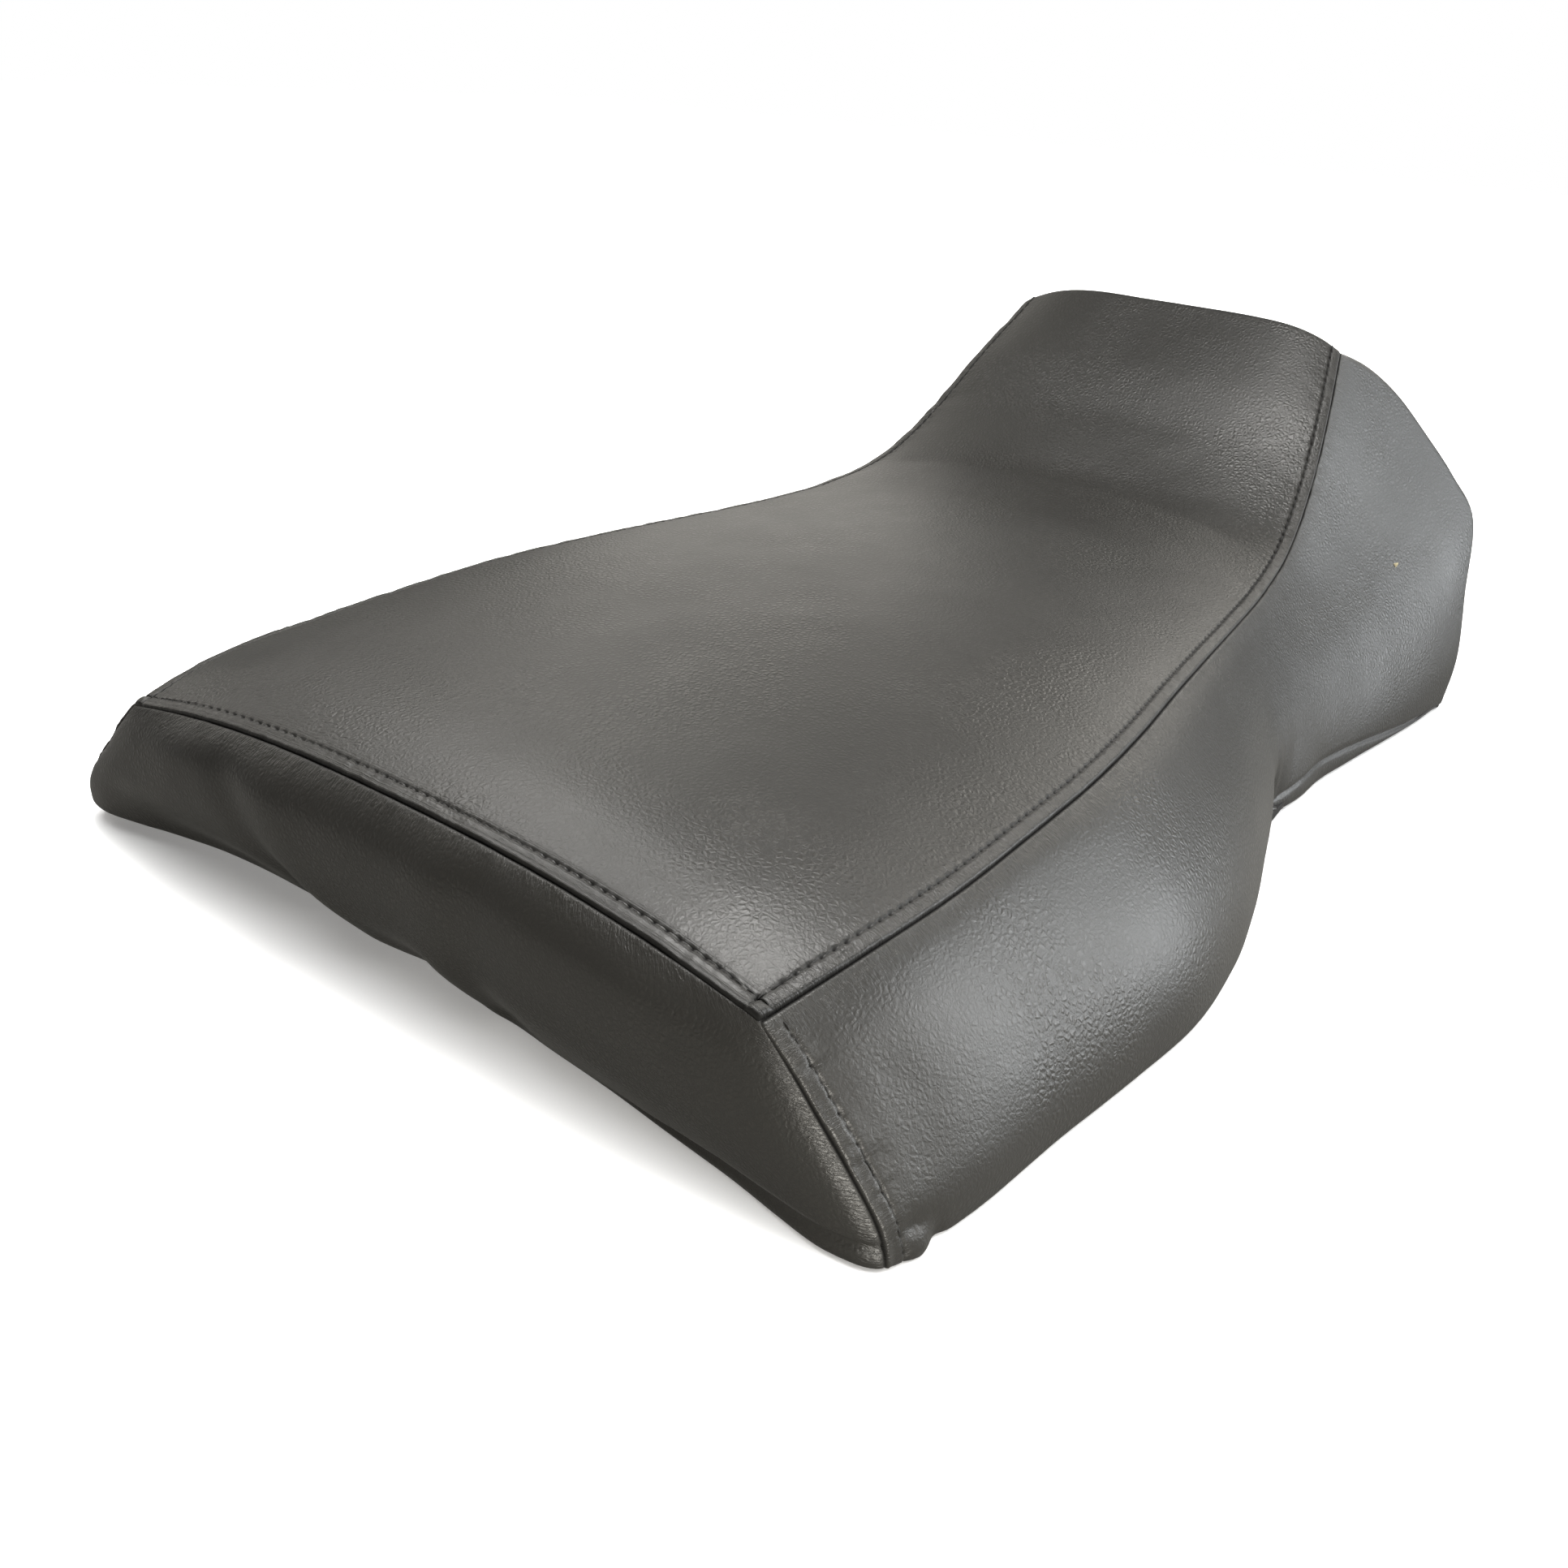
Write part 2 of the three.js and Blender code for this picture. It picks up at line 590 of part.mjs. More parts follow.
function makePan() {
  const core = hollow(0);
  const rooted = hollow(1.2);           // ribs and bosses root into the wall by this much
  const ribZone = rooted.subtract(core.translate([0, 0, -RIB_H]));
  let pan = buildHull(FLANGE_INSET).solid
    .intersect(hollow(PAN_T).add(slab(0, FLANGE_TOP)))
    .subtract(core);

  const { x: ribX, y0, y1, z1 } = LONG_RIB;
  const ribs = [
    box(-ribX, y0, RIB_Z0, -ribX + RIB_T, y1, z1),
    box(ribX - RIB_T, y0, RIB_Z0, ribX, y1, z1),
    ...CROSS_RIBS.map(([y, halfW, topZ]) => box(-halfW, y, RIB_Z0, halfW, y + RIB_T, topZ)),
  ];
  for (const rib of ribs) pan = pan.add(rib.intersect(ribZone));

  const addBoss = (x, y, boss, hole) => {
    pan = pan.add(cylinder(x, y, boss.z0, boss.z1, boss.radius).intersect(rooted));
    pan = pan.subtract(cylinder(x, y, hole.z0, hole.z1, hole.radius));
  };
  for (const [, x, y] of BUMPERS) {
    addBoss(x, y, { z0: POST_Z, z1: 70, radius: 9 },
      { z0: POST_Z - 1, z1: POST_Z + 7, radius: 3.3 });
  }
  for (const [, sign] of SIDES) {
    for (const [, y] of TONGUE_SCREWS) {
      addBoss(sign * TONGUE_X, y, { z0: TONGUE_Z + FIT, z1: 80, radius: 8 },
        { z0: TONGUE_Z, z1: TONGUE_Z + TONGUE_INSERT_H + 1, radius: INSERT_R + FIT });
    }
  }
  for (const [, x, y] of LATCH_SCREWS) {
    addBoss(x, y, { z0: BRACKET_TOP + FIT, z1: 60, radius: 7 },
      { z0: BRACKET_Z0, z1: BRACKET_TOP + LATCH_INSERT_H + 0.8, radius: INSERT_R + FIT });
  }
  return pan;
}

// ---------------------------------------------------------------- staples along the turned-under edge
const STAPLE = { width: 12, depth: 1.2, wire: 0.6, z0: 0.1, legTop: 3.9 };
const TAIL_STAPLES = { xs: [-120, -60, 60, 120], inset: 11 };
const SIDE_STAPLES = { ys: [70, 170, 270, 370, 480], inset: 10.5 };

// the staple, its slot through the vinyl and its leg holes in the pan
function makeStaple(x, y, angle) {
  const { wire, z0, legTop } = STAPLE;
  const halfW = STAPLE.width / 2;
  const halfD = STAPLE.depth / 2;
  const place = (m) => m.rotate([0, 0, angle * 180 / Math.PI]).translate([x, y, 0]);
  const legPair = (gap, bottom, top) =>
    box(-halfW - gap, -halfD - gap, bottom, -halfW + wire + gap, halfD + gap, top)
      .add(box(halfW - wire - gap, -halfD - gap, bottom, halfW + gap, halfD + gap, top));
  const bridge = box(-halfW, -halfD, z0, halfW, halfD, z0 + wire);
  return {
    solid: place(bridge.add(legPair(0, z0, legTop))),
    slot: place(box(-halfW - FIT, -halfD - FIT, -1, halfW + FIT, halfD + FIT, 1.5)),
    legHoles: place(legPair(FIT, 0, legTop + FIT)),
  };
}

// half width of the base edge at y, by bisection along the stations
function baseEdgeX(y) {
  let low = 0;
  let high = LAST_STATION;
  for (let i = 0; i < 40; i++) {
    const middle = (low + high) / 2;
    if (station(middle).baseY < y) low = middle;
    else high = middle;
  }
  return station(low).baseX;
}

function makeStaples() {
  const tail = TAIL_STAPLES.xs.map((x) => {
    const angle = Math.atan2(tailEdge(x + 2) - tailEdge(x - 2), 4);
    return makeStaple(x, tailEdge(x) + TAIL_STAPLES.inset, angle);
  });
  const sides = SIDE_STAPLES.ys.flatMap((y) => SIDES.map(([, sign]) => {
    const angle = Math.atan2(6, baseEdgeX(y + 3) - baseEdgeX(y - 3));
    const x = sign * (baseEdgeX(y) - SIDE_STAPLES.inset);
    return makeStaple(x, y, sign > 0 ? angle : Math.PI - angle);
  }));
  return [...tail, ...sides];
}

// ---------------------------------------------------------------- scene graph
const group = new THREE.Group();
const MATERIALS = {
  vinyl: { color: 0x2b2b2a, roughness: 0.48, metalness: 0 },
  foam: { color: 0xd8cfa8, roughness: 0.95, metalness: 0 },
  thread: { color: 0x101010, roughness: 0.7, metalness: 0 },
  pan: { color: 0x17181a, roughness: 0.55, metalness: 0 },
  rubber: { color: 0x141414, roughness: 0.85, metalness: 0 },
  zinc: { color: 0xb9bcc0, roughness: 0.35, metalness: 0.9 },
  brass: { color: 0xb08d48, roughness: 0.35, metalness: 0.9 },
  steel: { color: 0x8b8e92, roughness: 0.4, metalness: 0.9 },
  grip: { color: 0x1a1a1c, roughness: 0.7, metalness: 0 },
};

function addPart(name, solid, material, x = 0, y = 0, z = 0) {
  const surface = new THREE.MeshStandardMaterial(MATERIALS[material]);
  const mesh = new THREE.Mesh(geometryFromSolid(solid), surface);
  mesh.name = name;
  mesh.position.set(x, y - MID_Y, z);
  group.add(mesh);
}

// merges coplanar slivers left by the cuts
const tidy = (solid, tolerance) => solid.asOriginal().simplify(tolerance);

function addBody() {
  const panels = makeCoverPanels();
  const staples = makeStaples();
  let pan = makePan();
  for (const { slot, legHoles } of staples) {
    pan = pan.subtract(legHoles);
    for (const name of Object.keys(panels)) panels[name] = panels[name].subtract(slot);
  }
  addPart('foam_cushion', tidy(makeFoam(), 0.12), 'foam');
  for (const [name, panel] of Object.entries(panels)) {
    addPart(name, largestPiece(tidy(panel, 0.02)), 'vinyl');
  }
  addPart('seat_pan', tidy(pan, 0.12), 'pan');
  staples.forEach(({ solid }, i) => {
    addPart('staple_' + String(i + 1).padStart(2, '0'), solid, 'zinc');
  });
}

// ---------------------------------------------------------------- stitching
const STITCH_INSET = 6.2;               // stitch line set in from the sewn edge
const THREAD_R = 0.35;

// one square-section run lying on the skin, its centre lifted along the normals
function thread(points, normals, lift) {
  return loft(points.map((p, i) => {
    const normal = normals[i];
    const across = tangentAt(points, i).cross(normal).normalize();
    const centre = p.clone().add(normal.clone().multiplyScalar(lift));
    return [0, 1, 2, 3].map((k) => {
      const angle = Math.PI / 4 + k * Math.PI / 2;
      return centre.clone()
        .add(across.clone().multiplyScalar(THREAD_R * Math.cos(angle)))
        .add(normal.clone().multiplyScalar(THREAD_R * Math.sin(angle)));
    });
  }));
}

function surfaceNormal(surface, u, v, flip) {
  const step = 1e-3;
  const alongU = surface(u + step, v).sub(surface(u - step, v));
  const alongV = surface(u, v + step).sub(surface(u, v - step));
  const normal = alongU.cross(alongV).normalize();
  return flip ? normal.negate() : normal;
}

// thread through surface parameters [u, v]
function addStitch(name, surface, params, flip, lift) {
  const points = params.map(([u, v]) => surface(u, v));
  const normals = params.map(([u, v]) => surfaceNormal(surface, u, v, flip));
  addPart(name, thread(points, normals, lift), 'thread');
}

// count + 1 values made by a function of the fraction's numerator
const series = (count, make) => Array.from({ length: count + 1 }, (_, i) => make(i));

function addStitching() {
  const CORNER_RUNS = 14;
  const TAIL_RUNS = 24;
  const EDGE_STATION = 0.15;            // stitches beside the tail seams
  for (const [side, sign] of SIDES) {
    const topRun = series(ALONG, (j) => {
      const s = Math.min(12.9, Math.max(0.17, stationAt(j)));
      return [s, sign * (1 - STITCH_INSET / station(s).seamX)];
    });
    addStitch('topstitch_' + side, topPoint, topRun, true, 0.75);
    const cornerRun = series(CORNER_RUNS, (i) => [EDGE_STATION, 0.06 + 0.88 * i / CORNER_RUNS]);
    const surface = (s, r) => sidePoint(s, r, sign);
    addStitch('corner_stitch_' + side, surface, cornerRun, sign > 0, 0.95);
  }
  const tailRun = series(TAIL_RUNS, (i) => [EDGE_STATION, -0.93 + 1.86 * i / TAIL_RUNS]);
  addStitch('topstitch_tail', topPoint, tailRun, true, 0.8);
}

// ---------------------------------------------------------------- bumpers, screws and tongues
// push-in rubber bumpers
function addBumpers() {
  const shoulder = POST_Z - FIT - BUMPER_Z0;
  const stemEnd = POST_Z - BUMPER_Z0 + 6.3;
  const outline = [
    [0, 0], [BUMPER_R - 1.5, 0], [BUMPER_R, 1.5], [BUMPER_R, shoulder], [3, shoulder],
    [3, POST_Z - BUMPER_Z0 + 5], [2, stemEnd], [0, stemEnd],
  ];
  for (const [name, x, y] of BUMPERS) {
    addPart('rubber_bumper_' + name, turned(outline, 14), 'rubber', x, y, BUMPER_Z0);
  }
}

// screw pointing up, its head below z = 0
const screw = (length) => turned([
  [0, -2.6], [3.4, -2.6], [5.2, -1.0], [5.2, 0], [SCREW_R, 0],
  [SCREW_R, length - 0.8], [SCREW_R - 0.8, length], [0, length],
], 12);

// threaded insert, closed at the top
const insert = (height) => cylinder(0, 0, 0, height, INSERT_R)
  .subtract(cylinder(0, 0, -1, height - 1.2, SCREW_R + FIT));

// flat strap joggled down to a forward tip
function makeTongue() {
  const WIDTH = 26;
  const outline = [                     // forward from the rear end, up from the underside
    [0, 0], [52, 0], [64, -8], [96, -8], [102, -5.5],
    [102, -2.6], [95, -5], [65, -5], [53, TONGUE_T], [0, TONGUE_T],
  ];
  const strap = extruded(outline, WIDTH);
  // outline x -> +Y, outline y -> +Z, depth -> +X
  strap.applyMatrix4(new THREE.Matrix4().makeBasis(vec(0, 1, 0), vec(0, 0, 1), vec(1, 0, 0)));
  strap.translate(-WIDTH / 2, TONGUE_SCREWS[0][1] - 12, -TONGUE_T);
  let tongue = solidFromGeometry(strap);
  for (const [, y] of TONGUE_SCREWS) {
    tongue = tongue.subtract(cylinder(0, y, -TONGUE_T - 6, 6, SCREW_R + 0.4));
  }
  return tongue;
}

function addTongues() {
  for (const [side, sign] of SIDES) {
    const x = sign * TONGUE_X;
    for (const [place, y] of TONGUE_SCREWS) {
      const id = side + '_' + place;
      addPart('tongue_screw_' + id, screw(11), 'zinc', x, y, TONGUE_Z - TONGUE_T - FIT);
      addPart('tongue_insert_' + id, insert(TONGUE_INSERT_H), 'brass', x, y, TONGUE_Z + 0.5);
    }
    addPart('front_tongue_' + side, makeTongue(), 'steel', x, 0, TONGUE_Z);
  }
}

// ---------------------------------------------------------------- latch
// the plate turns about a vertical shoulder bolt under a fixed bracket
const PLATE_Z0 = 7.4;
const PLATE_T = 3;

function makeBracket() {
  const HALF_W = 31;
  const HALF_L = 26;
  const FLANGE_T = 2.4;
  const y0 = LATCH_Y - HALF_L;
  const y1 = LATCH_Y + HALF_L;
  const [flangeZ0, flangeZ1] = [BRACKET_Z0 - 6, BRACKET_Z0 + 0.5];
  let bracket = box(-HALF_W, y0, BRACKET_Z0, HALF_W, y1, BRACKET_TOP)
    .add(box(-HALF_W, y0, flangeZ0, -HALF_W + FLANGE_T, y1, flangeZ1))
    .add(box(HALF_W - FLANGE_T, y0, flangeZ0, HALF_W, y1, flangeZ1));
  const drill = (x, y, radius) => {
    bracket = bracket.subtract(cylinder(x, y, BRACKET_Z0 - 8, BRACKET_Z0 + 6, radius));
  };
  for (const [, x, y] of LATCH_SCREWS) drill(x, y, SCREW_R + 0.4);
  drill(0, LATCH_Y, 4.4);
  return bracket;
}

// shoulder bolt, head down: radius, z
const BOLT_PROFILE = [
  [0, 0], [4.5, 0], [7.2, 0.8], [7.2, 3.2], [4, 3.2],
  [4, 12.7], [3, 12.9], [3, 18.5], [0, 18.5],
];

function makeLockNut() {
  const RADIUS = 6.4;
  const HEIGHT = 3.4;
  const hexagon = new THREE.CylinderGeometry(RADIUS, RADIUS, HEIGHT, 6);
  hexagon.rotateX(Math.PI / 2).translate(0, 0, HEIGHT / 2);
  return solidFromGeometry(hexagon).subtract(cylinder(0, 0, -1, 6, 3.3));
}

// return spring: coil round the bolt between plate and bracket
const SPRING = { radius: 6.4, turns: 1.9, z0: 0.62, rise: 1.9, wireR: 0.42 };
class Helix extends THREE.Curve {
  getPoint(t, out = vec(0, 0, 0)) {
    const angle = t * Math.PI * 2 * SPRING.turns;
    const { radius, z0, rise } = SPRING;
    return out.set(radius * Math.cos(angle), radius * Math.sin(angle), z0 + rise * t);
  }
}

function makeSpring() {
  const section = series(4, (k) => {
    const angle = k * Math.PI / 2.5;
    return [SPRING.wireR * Math.cos(angle), SPRING.wireR * Math.sin(angle)];
  });
  const options = { steps: 26, bevelEnabled: false, extrudePath: new Helix() };
  const wire = new THREE.Shape(toVectors(section));
  return solidFromGeometry(new THREE.ExtrudeGeometry(wire, options));
}

// turning plate: round eye, claw ahead, lever tail behind; x, y from the pivot
const LEVER_OUTLINE = [[-5, -12], [-7, -38], [-9, -62], [9, -62], [7, -38], [9, -12]];
const CLAW_OUTLINE = [
  [9, 22], [14, 30], [12, 38], [2, 40], [-9, 34], [-4, 31], [4, 32], [5, 26], [-3, 20],
];

function makePlate() {
  const EYE_R = 11;
  const eyeArc = (middle) => series(6, (k) => {
    const angle = middle - 0.75 + k * 1.5 / 6;
    return [EYE_R * Math.cos(angle), EYE_R * Math.sin(angle)];
  });
  const outline = [...LEVER_OUTLINE, ...eyeArc(0), ...CLAW_OUTLINE, ...eyeArc(Math.PI)];
  return solidFromGeometry(extruded(outline, PLATE_T)).subtract(cylinder(0, 0, -1, 6, 4.35, 20));
}

// moulded grip sleeve on the lever tail
function makeGrip() {
  const shape = new THREE.Shape();
  shape.moveTo(-13, -69);
  shape.lineTo(13, -69);
  shape.quadraticCurveTo(15, -69, 15, -66);
  shape.lineTo(14, -48);
  shape.quadraticCurveTo(0, -45, -14, -48);
  shape.lineTo(-15, -66);
  shape.quadraticCurveTo(-15, -69, -13, -69);
  const sleeve = new THREE.ExtrudeGeometry(shape, {
    depth: 6.4,
    bevelEnabled: true,
    bevelThickness: 0.9,
    bevelSize: 0.9,
    bevelSegments: 1,
    curveSegments: 4,
  });
  const pocket = box(-9.4, -62.4, -FIT, 9.4, -40, PLATE_T + FIT);
  return solidFromGeometry(sleeve.translate(0, 0, -1.7)).subtract(pocket);
}

function addLatch() {
  addPart('latch_bracket', makeBracket(), 'zinc');
  for (const [id, x, y] of LATCH_SCREWS) {
    addPart('latch_screw_' + id, screw(9), 'zinc', x, y, BRACKET_Z0 - FIT);
    addPart('latch_insert_' + id, insert(LATCH_INSERT_H), 'brass', x, y, BRACKET_TOP + 0.5);
  }
  const addOnPivot = (name, solid, material, z) =>
    addPart('latch_' + name, solid, material, 0, LATCH_Y, z);
  addOnPivot('pivot_bolt', turned(BOLT_PROFILE, 14), 'steel', PLATE_Z0 - 3.5);
  addOnPivot('lock_nut', makeLockNut(), 'zinc', BRACKET_TOP + FIT);
  addOnPivot('return_spring', makeSpring(), 'steel', PLATE_Z0 + PLATE_T + FIT);
  addOnPivot('plate', makePlate(), 'zinc', PLATE_Z0);
  addOnPivot('lever_grip', makeGrip(), 'grip', PLATE_Z0);
}

addBody();
addStitching();
addBumpers();
addTongues();
addLatch();

export default group;
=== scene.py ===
"""Straddle seat: sewn vinyl cover, stitches, staples, foam block, pan and latch hardware.

Shapes are worked out in millimetres: x to the right, y from the tail seam towards the nose,
z up from the floor. The scene is in metres, with y counted from MID_Y.
Panels are read by three parameters: along (0 at the tail, 13 at the nose), across (-1 left
to 1 right, on the top and tail) and down (0 at the top seam, 1 at the base).
A panel's hand is 1 for right and -1 for left.
"""
import json
import math
from collections import namedtuple

import bmesh
import bpy
import numpy as np
from mathutils import Matrix, Vector

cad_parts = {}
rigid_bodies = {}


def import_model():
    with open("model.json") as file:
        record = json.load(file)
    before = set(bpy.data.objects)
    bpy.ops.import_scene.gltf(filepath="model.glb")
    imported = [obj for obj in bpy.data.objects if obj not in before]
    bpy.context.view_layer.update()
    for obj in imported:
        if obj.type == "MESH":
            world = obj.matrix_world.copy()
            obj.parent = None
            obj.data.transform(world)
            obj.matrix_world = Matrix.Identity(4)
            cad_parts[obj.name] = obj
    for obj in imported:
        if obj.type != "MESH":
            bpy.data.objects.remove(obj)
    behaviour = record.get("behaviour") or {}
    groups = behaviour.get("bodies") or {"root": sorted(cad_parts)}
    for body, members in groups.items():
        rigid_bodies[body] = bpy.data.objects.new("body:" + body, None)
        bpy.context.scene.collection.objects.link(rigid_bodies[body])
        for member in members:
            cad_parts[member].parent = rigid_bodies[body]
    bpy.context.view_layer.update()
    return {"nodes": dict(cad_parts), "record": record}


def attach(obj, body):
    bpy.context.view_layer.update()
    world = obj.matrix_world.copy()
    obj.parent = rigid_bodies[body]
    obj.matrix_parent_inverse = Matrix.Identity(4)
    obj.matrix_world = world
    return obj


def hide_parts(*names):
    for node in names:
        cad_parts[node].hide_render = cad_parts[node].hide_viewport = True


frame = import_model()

MID_Y = 303.106

# ---------------------------------------------------------------- driving dimensions
Station = namedtuple("Station", "seam_x seam_y seam_z base_x base_y crown power")
# One row per station, columns as in Station; the top rises by crown above the seams and
# power sets how square that crown is.
STATIONS = np.array([
    [152.8, 4.2, 63.9, 200.0, 8.5, 15.0, 2.50],
    [160.2, 45.7, 71.0, 206.0, 46.0, 15.2, 2.50],
    [162.8, 89.7, 73.5, 208.8, 90.0, 15.0, 2.50],
    [162.5, 136.5, 76.5, 212.6, 137.0, 14.6, 2.45],
    [161.0, 183.0, 79.2, 214.8, 183.0, 14.3, 2.40],
    [156.0, 230.0, 81.0, 209.4, 229.0, 13.9, 2.35],
    [148.6, 277.0, 82.2, 198.6, 275.0, 13.2, 2.30],
    [141.2, 325.0, 82.6, 184.6, 321.0, 12.6, 2.30],
    [134.4, 373.0, 83.6, 173.2, 368.0, 12.2, 2.40],
    [128.6, 417.0, 86.8, 172.2, 414.0, 12.0, 2.70],
    [122.4, 459.5, 96.8, 176.4, 458.0, 12.8, 3.10],
    [115.1, 495.5, 119.6, 181.0, 497.0, 13.0, 3.70],
    [106.6, 525.5, 148.0, 184.6, 535.0, 13.0, 4.30],
    [94.8, 560.0, 179.5, 187.0, 572.0, 12.7, 5.00]])
END = len(STATIONS) - 1.0
TAIL_X = STATIONS[0, 0]
# Side sections, seam to base: (share of the way out, share of the way down) at each station
# of PROFILE_AT.
PROFILE_AT = [0.0, 1.6, 4.0, 6.5, 9.0, 11.2, 13.0]
PROFILES = np.array([
    [[0, 0], [0.14, 0.095], [0.30, 0.21], [0.466, 0.347], [0.63, 0.48], [0.773, 0.61],
     [0.896, 0.734], [0.975, 0.864], [1, 1]],
    [[0, 0], [0.165, 0.095], [0.345, 0.208], [0.53, 0.34], [0.70, 0.475], [0.84, 0.61],
     [0.94, 0.745], [0.992, 0.875], [1, 1]],
    [[0, 0], [0.18, 0.085], [0.37, 0.19], [0.57, 0.31], [0.745, 0.44], [0.885, 0.585],
     [0.975, 0.735], [1.01, 0.88], [1, 1]],
    [[0, 0], [0.17, 0.085], [0.35, 0.185], [0.54, 0.295], [0.71, 0.42], [0.85, 0.56],
     [0.945, 0.71], [0.99, 0.86], [1, 1]],
    [[0, 0], [0.14, 0.085], [0.29, 0.18], [0.46, 0.285], [0.63, 0.40], [0.78, 0.53],
     [0.90, 0.68], [0.975, 0.84], [1, 1]],
    [[0, 0], [0.13, 0.095], [0.27, 0.20], [0.44, 0.31], [0.62, 0.42], [0.78, 0.54],
     [0.905, 0.69], [0.985, 0.85], [1, 1]],
    [[0, 0], [0.121, 0.047], [0.284, 0.125], [0.469, 0.231], [0.653, 0.343], [0.815, 0.46],
     [0.924, 0.655], [1.00, 0.844], [1, 1]]])
# How far the nose end of a side runs forward, from seam to base
SWEEP = [0, 17.5, 30, 37.5, 43, 44.5, 24, 12.5, 0]
# Right half of the tail's base line: (x, y)
TAIL_BASE = np.array([[0, 20], [50, 18.5], [100, 14.5], [140, 9.5], [165, 5.0], [180, 2.8],
                      [192, 4.0], [197, 6.0], [200, 8.5]], float)
# How far the foot of the tail is drawn up: (x, lift)
LIFT = np.array([[-230, 6.6], [-197, 6.6], [-174, 7.6], [-145, 9.0], [-107, 10.8], [-63, 9.0],
                 [-41, 6.0], [-20, 5.6], [6, 6.6], [16, 6.2], [22, 3.6], [28, 0.8], [34, 0.0],
                 [230, 0.0]])
TAIL_SWELL = 9.0        # bulge of the tail panel at its middle
PITCH = 5.0             # nominal stitch length
STITCH_D = 6.2          # stitch row to seam
STITCH_LIFT = 0.34      # thread above the panel surface
COVER_THICK = 1.0
STAPLE_IN = 10.5        # staple line to base fold
NOSE_ROUND = 4.2        # half length over which the fold at the nose is rounded

# Distances from a seam or fold at which the panels have points
SEAM_GAP = 0.10
EDGE = np.array([SEAM_GAP, 0.13, 0.20, 0.38, 0.65, 1.05, 1.6, 2.4, 3.3, 4.2,
                 4.95, 5.5, 5.9, 6.2, 6.5, 6.95, 7.7, 8.9, 10.6, 13.0])
EDGE_REACH = EDGE[-1]
UPPER = np.array([SEAM_GAP, 0.14, 0.24, 0.45, 0.8, 1.3, 2.0, 3.0, 4.3, 6.0])
SIDE_FOOT = np.array([11.8, 10.6, 9.5, 8.5, 7.6, 6.7, 5.8, 4.9, 4.0, 3.2, 2.4, 1.6, 0.8, 0.0])
TAIL_FOOT = np.array([11.5, 10, 8.6, 7.2, 5.9, 4.7, 3.6, 2.6, 1.7, 0.8, 0])
FLAP_COLS = np.array([0.8, 1.6, 2.4, 3.4, 4.8, 6.5, 8.5, 10.5, 12.5, 14.5, 16.3, 18.0])
NOSE_ROWS = np.array([0.9, 1.8, 2.8, 4.0, 5.5, 7.5, 10, 13, 16, 19, 22, 25.0])


# ---------------------------------------------------------------- small maths
class Spline:
    """Cubic Hermite through rows of values, one-sided slopes at the ends, flat beyond them."""
    def __init__(self, knots, values):
        knots, values = np.asarray(knots, float), np.asarray(values, float)
        if values.ndim == 1:
            values = values[:, None]
        slopes = np.empty_like(values)
        slopes[1:-1] = (values[2:] - values[:-2]) / (knots[2:] - knots[:-2])[:, None]
        slopes[0] = (values[1] - values[0]) / (knots[1] - knots[0])
        slopes[-1] = (values[-1] - values[-2]) / (knots[-1] - knots[-2])
        self.knots, self.values, self.slopes, self.gaps = knots, values, slopes, np.diff(knots)

    def __call__(self, at):
        at = np.clip(np.asarray(at, float), self.knots[0], self.knots[-1])
        k = np.clip(np.searchsorted(self.knots, at, side="right") - 1, 0, len(self.knots) - 2)
        gap = self.gaps[k][..., None]
        part = (at - self.knots[k])[..., None] / gap
        square, cube = part * part, part * part * part
        return ((2 * cube - 3 * square + 1) * self.values[k]
                + (cube - 2 * square + part) * gap * self.slopes[k]
                + (3 * square - 2 * cube) * self.values[k + 1]
                + (cube - square) * gap * self.slopes[k + 1])


def point(*parts):
    return np.stack(np.broadcast_arrays(*parts), -1)


def unit(vectors):
    return vectors / np.maximum(np.linalg.norm(vectors, axis=-1, keepdims=True), 1e-12)


def ease(x, low, high):
    """0 at low and 1 at high with a smooth step between; low may be the larger."""
    part = np.clip((x - low) / (high - low), 0, 1)
    return part * part * (3 - 2 * part)


def hump(x, at, width):
    return np.exp(-((x - at) / width) ** 2)


def fade(x, reach, start=0.0):
    """1 up to start, then dying away over reach."""
    return np.exp(-np.clip(x - start, 0, None) / reach)


def lengths(points, axis):
    """Arc length from the first point along an axis."""
    steps = np.linalg.norm(np.diff(points, axis=axis), axis=-1)
    zero = np.zeros_like(np.take(steps, [0], axis=axis))
    return np.concatenate([zero, np.cumsum(steps, axis=axis)], axis=axis)


LATTICE = np.random.default_rng(11).random((64, 64, 64))


def noise(x, y, z):
    """Smooth value noise in -1..1 with lattice cells of 1."""
    cells, weights = [], []
    for v in np.broadcast_arrays(*[np.asarray(v, float) for v in (x, y, z)]):
        floor_v = np.floor(v)
        part = v - floor_v
        blend = part * part * part * (part * (6 * part - 15) + 10)
        cells.append(floor_v.astype(int))
        weights.append((1 - blend, blend))
    total = 0
    for i, j, k in np.ndindex(2, 2, 2):
        corner = LATTICE[(cells[0] + i) % 64, (cells[1] + j) % 64, (cells[2] + k) % 64]
        total = total + weights[0][i] * weights[1][j] * weights[2][k] * corner
    return 2 * total - 1


# ---------------------------------------------------------------- bare panel surfaces
station_rows = Spline(np.arange(len(STATIONS)), STATIONS)
profile_weights = Spline(PROFILE_AT, np.eye(7))
drop_weights = Spline(np.arange(9) / 8, np.eye(9))
sweep_line = Spline(np.arange(9) / 8, SWEEP)
tail_base = Spline(np.r_[-TAIL_BASE[:0:-1, 0], TAIL_BASE[:, 0]],
                   np.r_[TAIL_BASE[:0:-1, 1], TAIL_BASE[:, 1]])
lift_line = Spline(LIFT[:, 0], LIFT[:, 1])


def station(along):
    return Station(*np.moveaxis(station_rows(along), -1, 0))


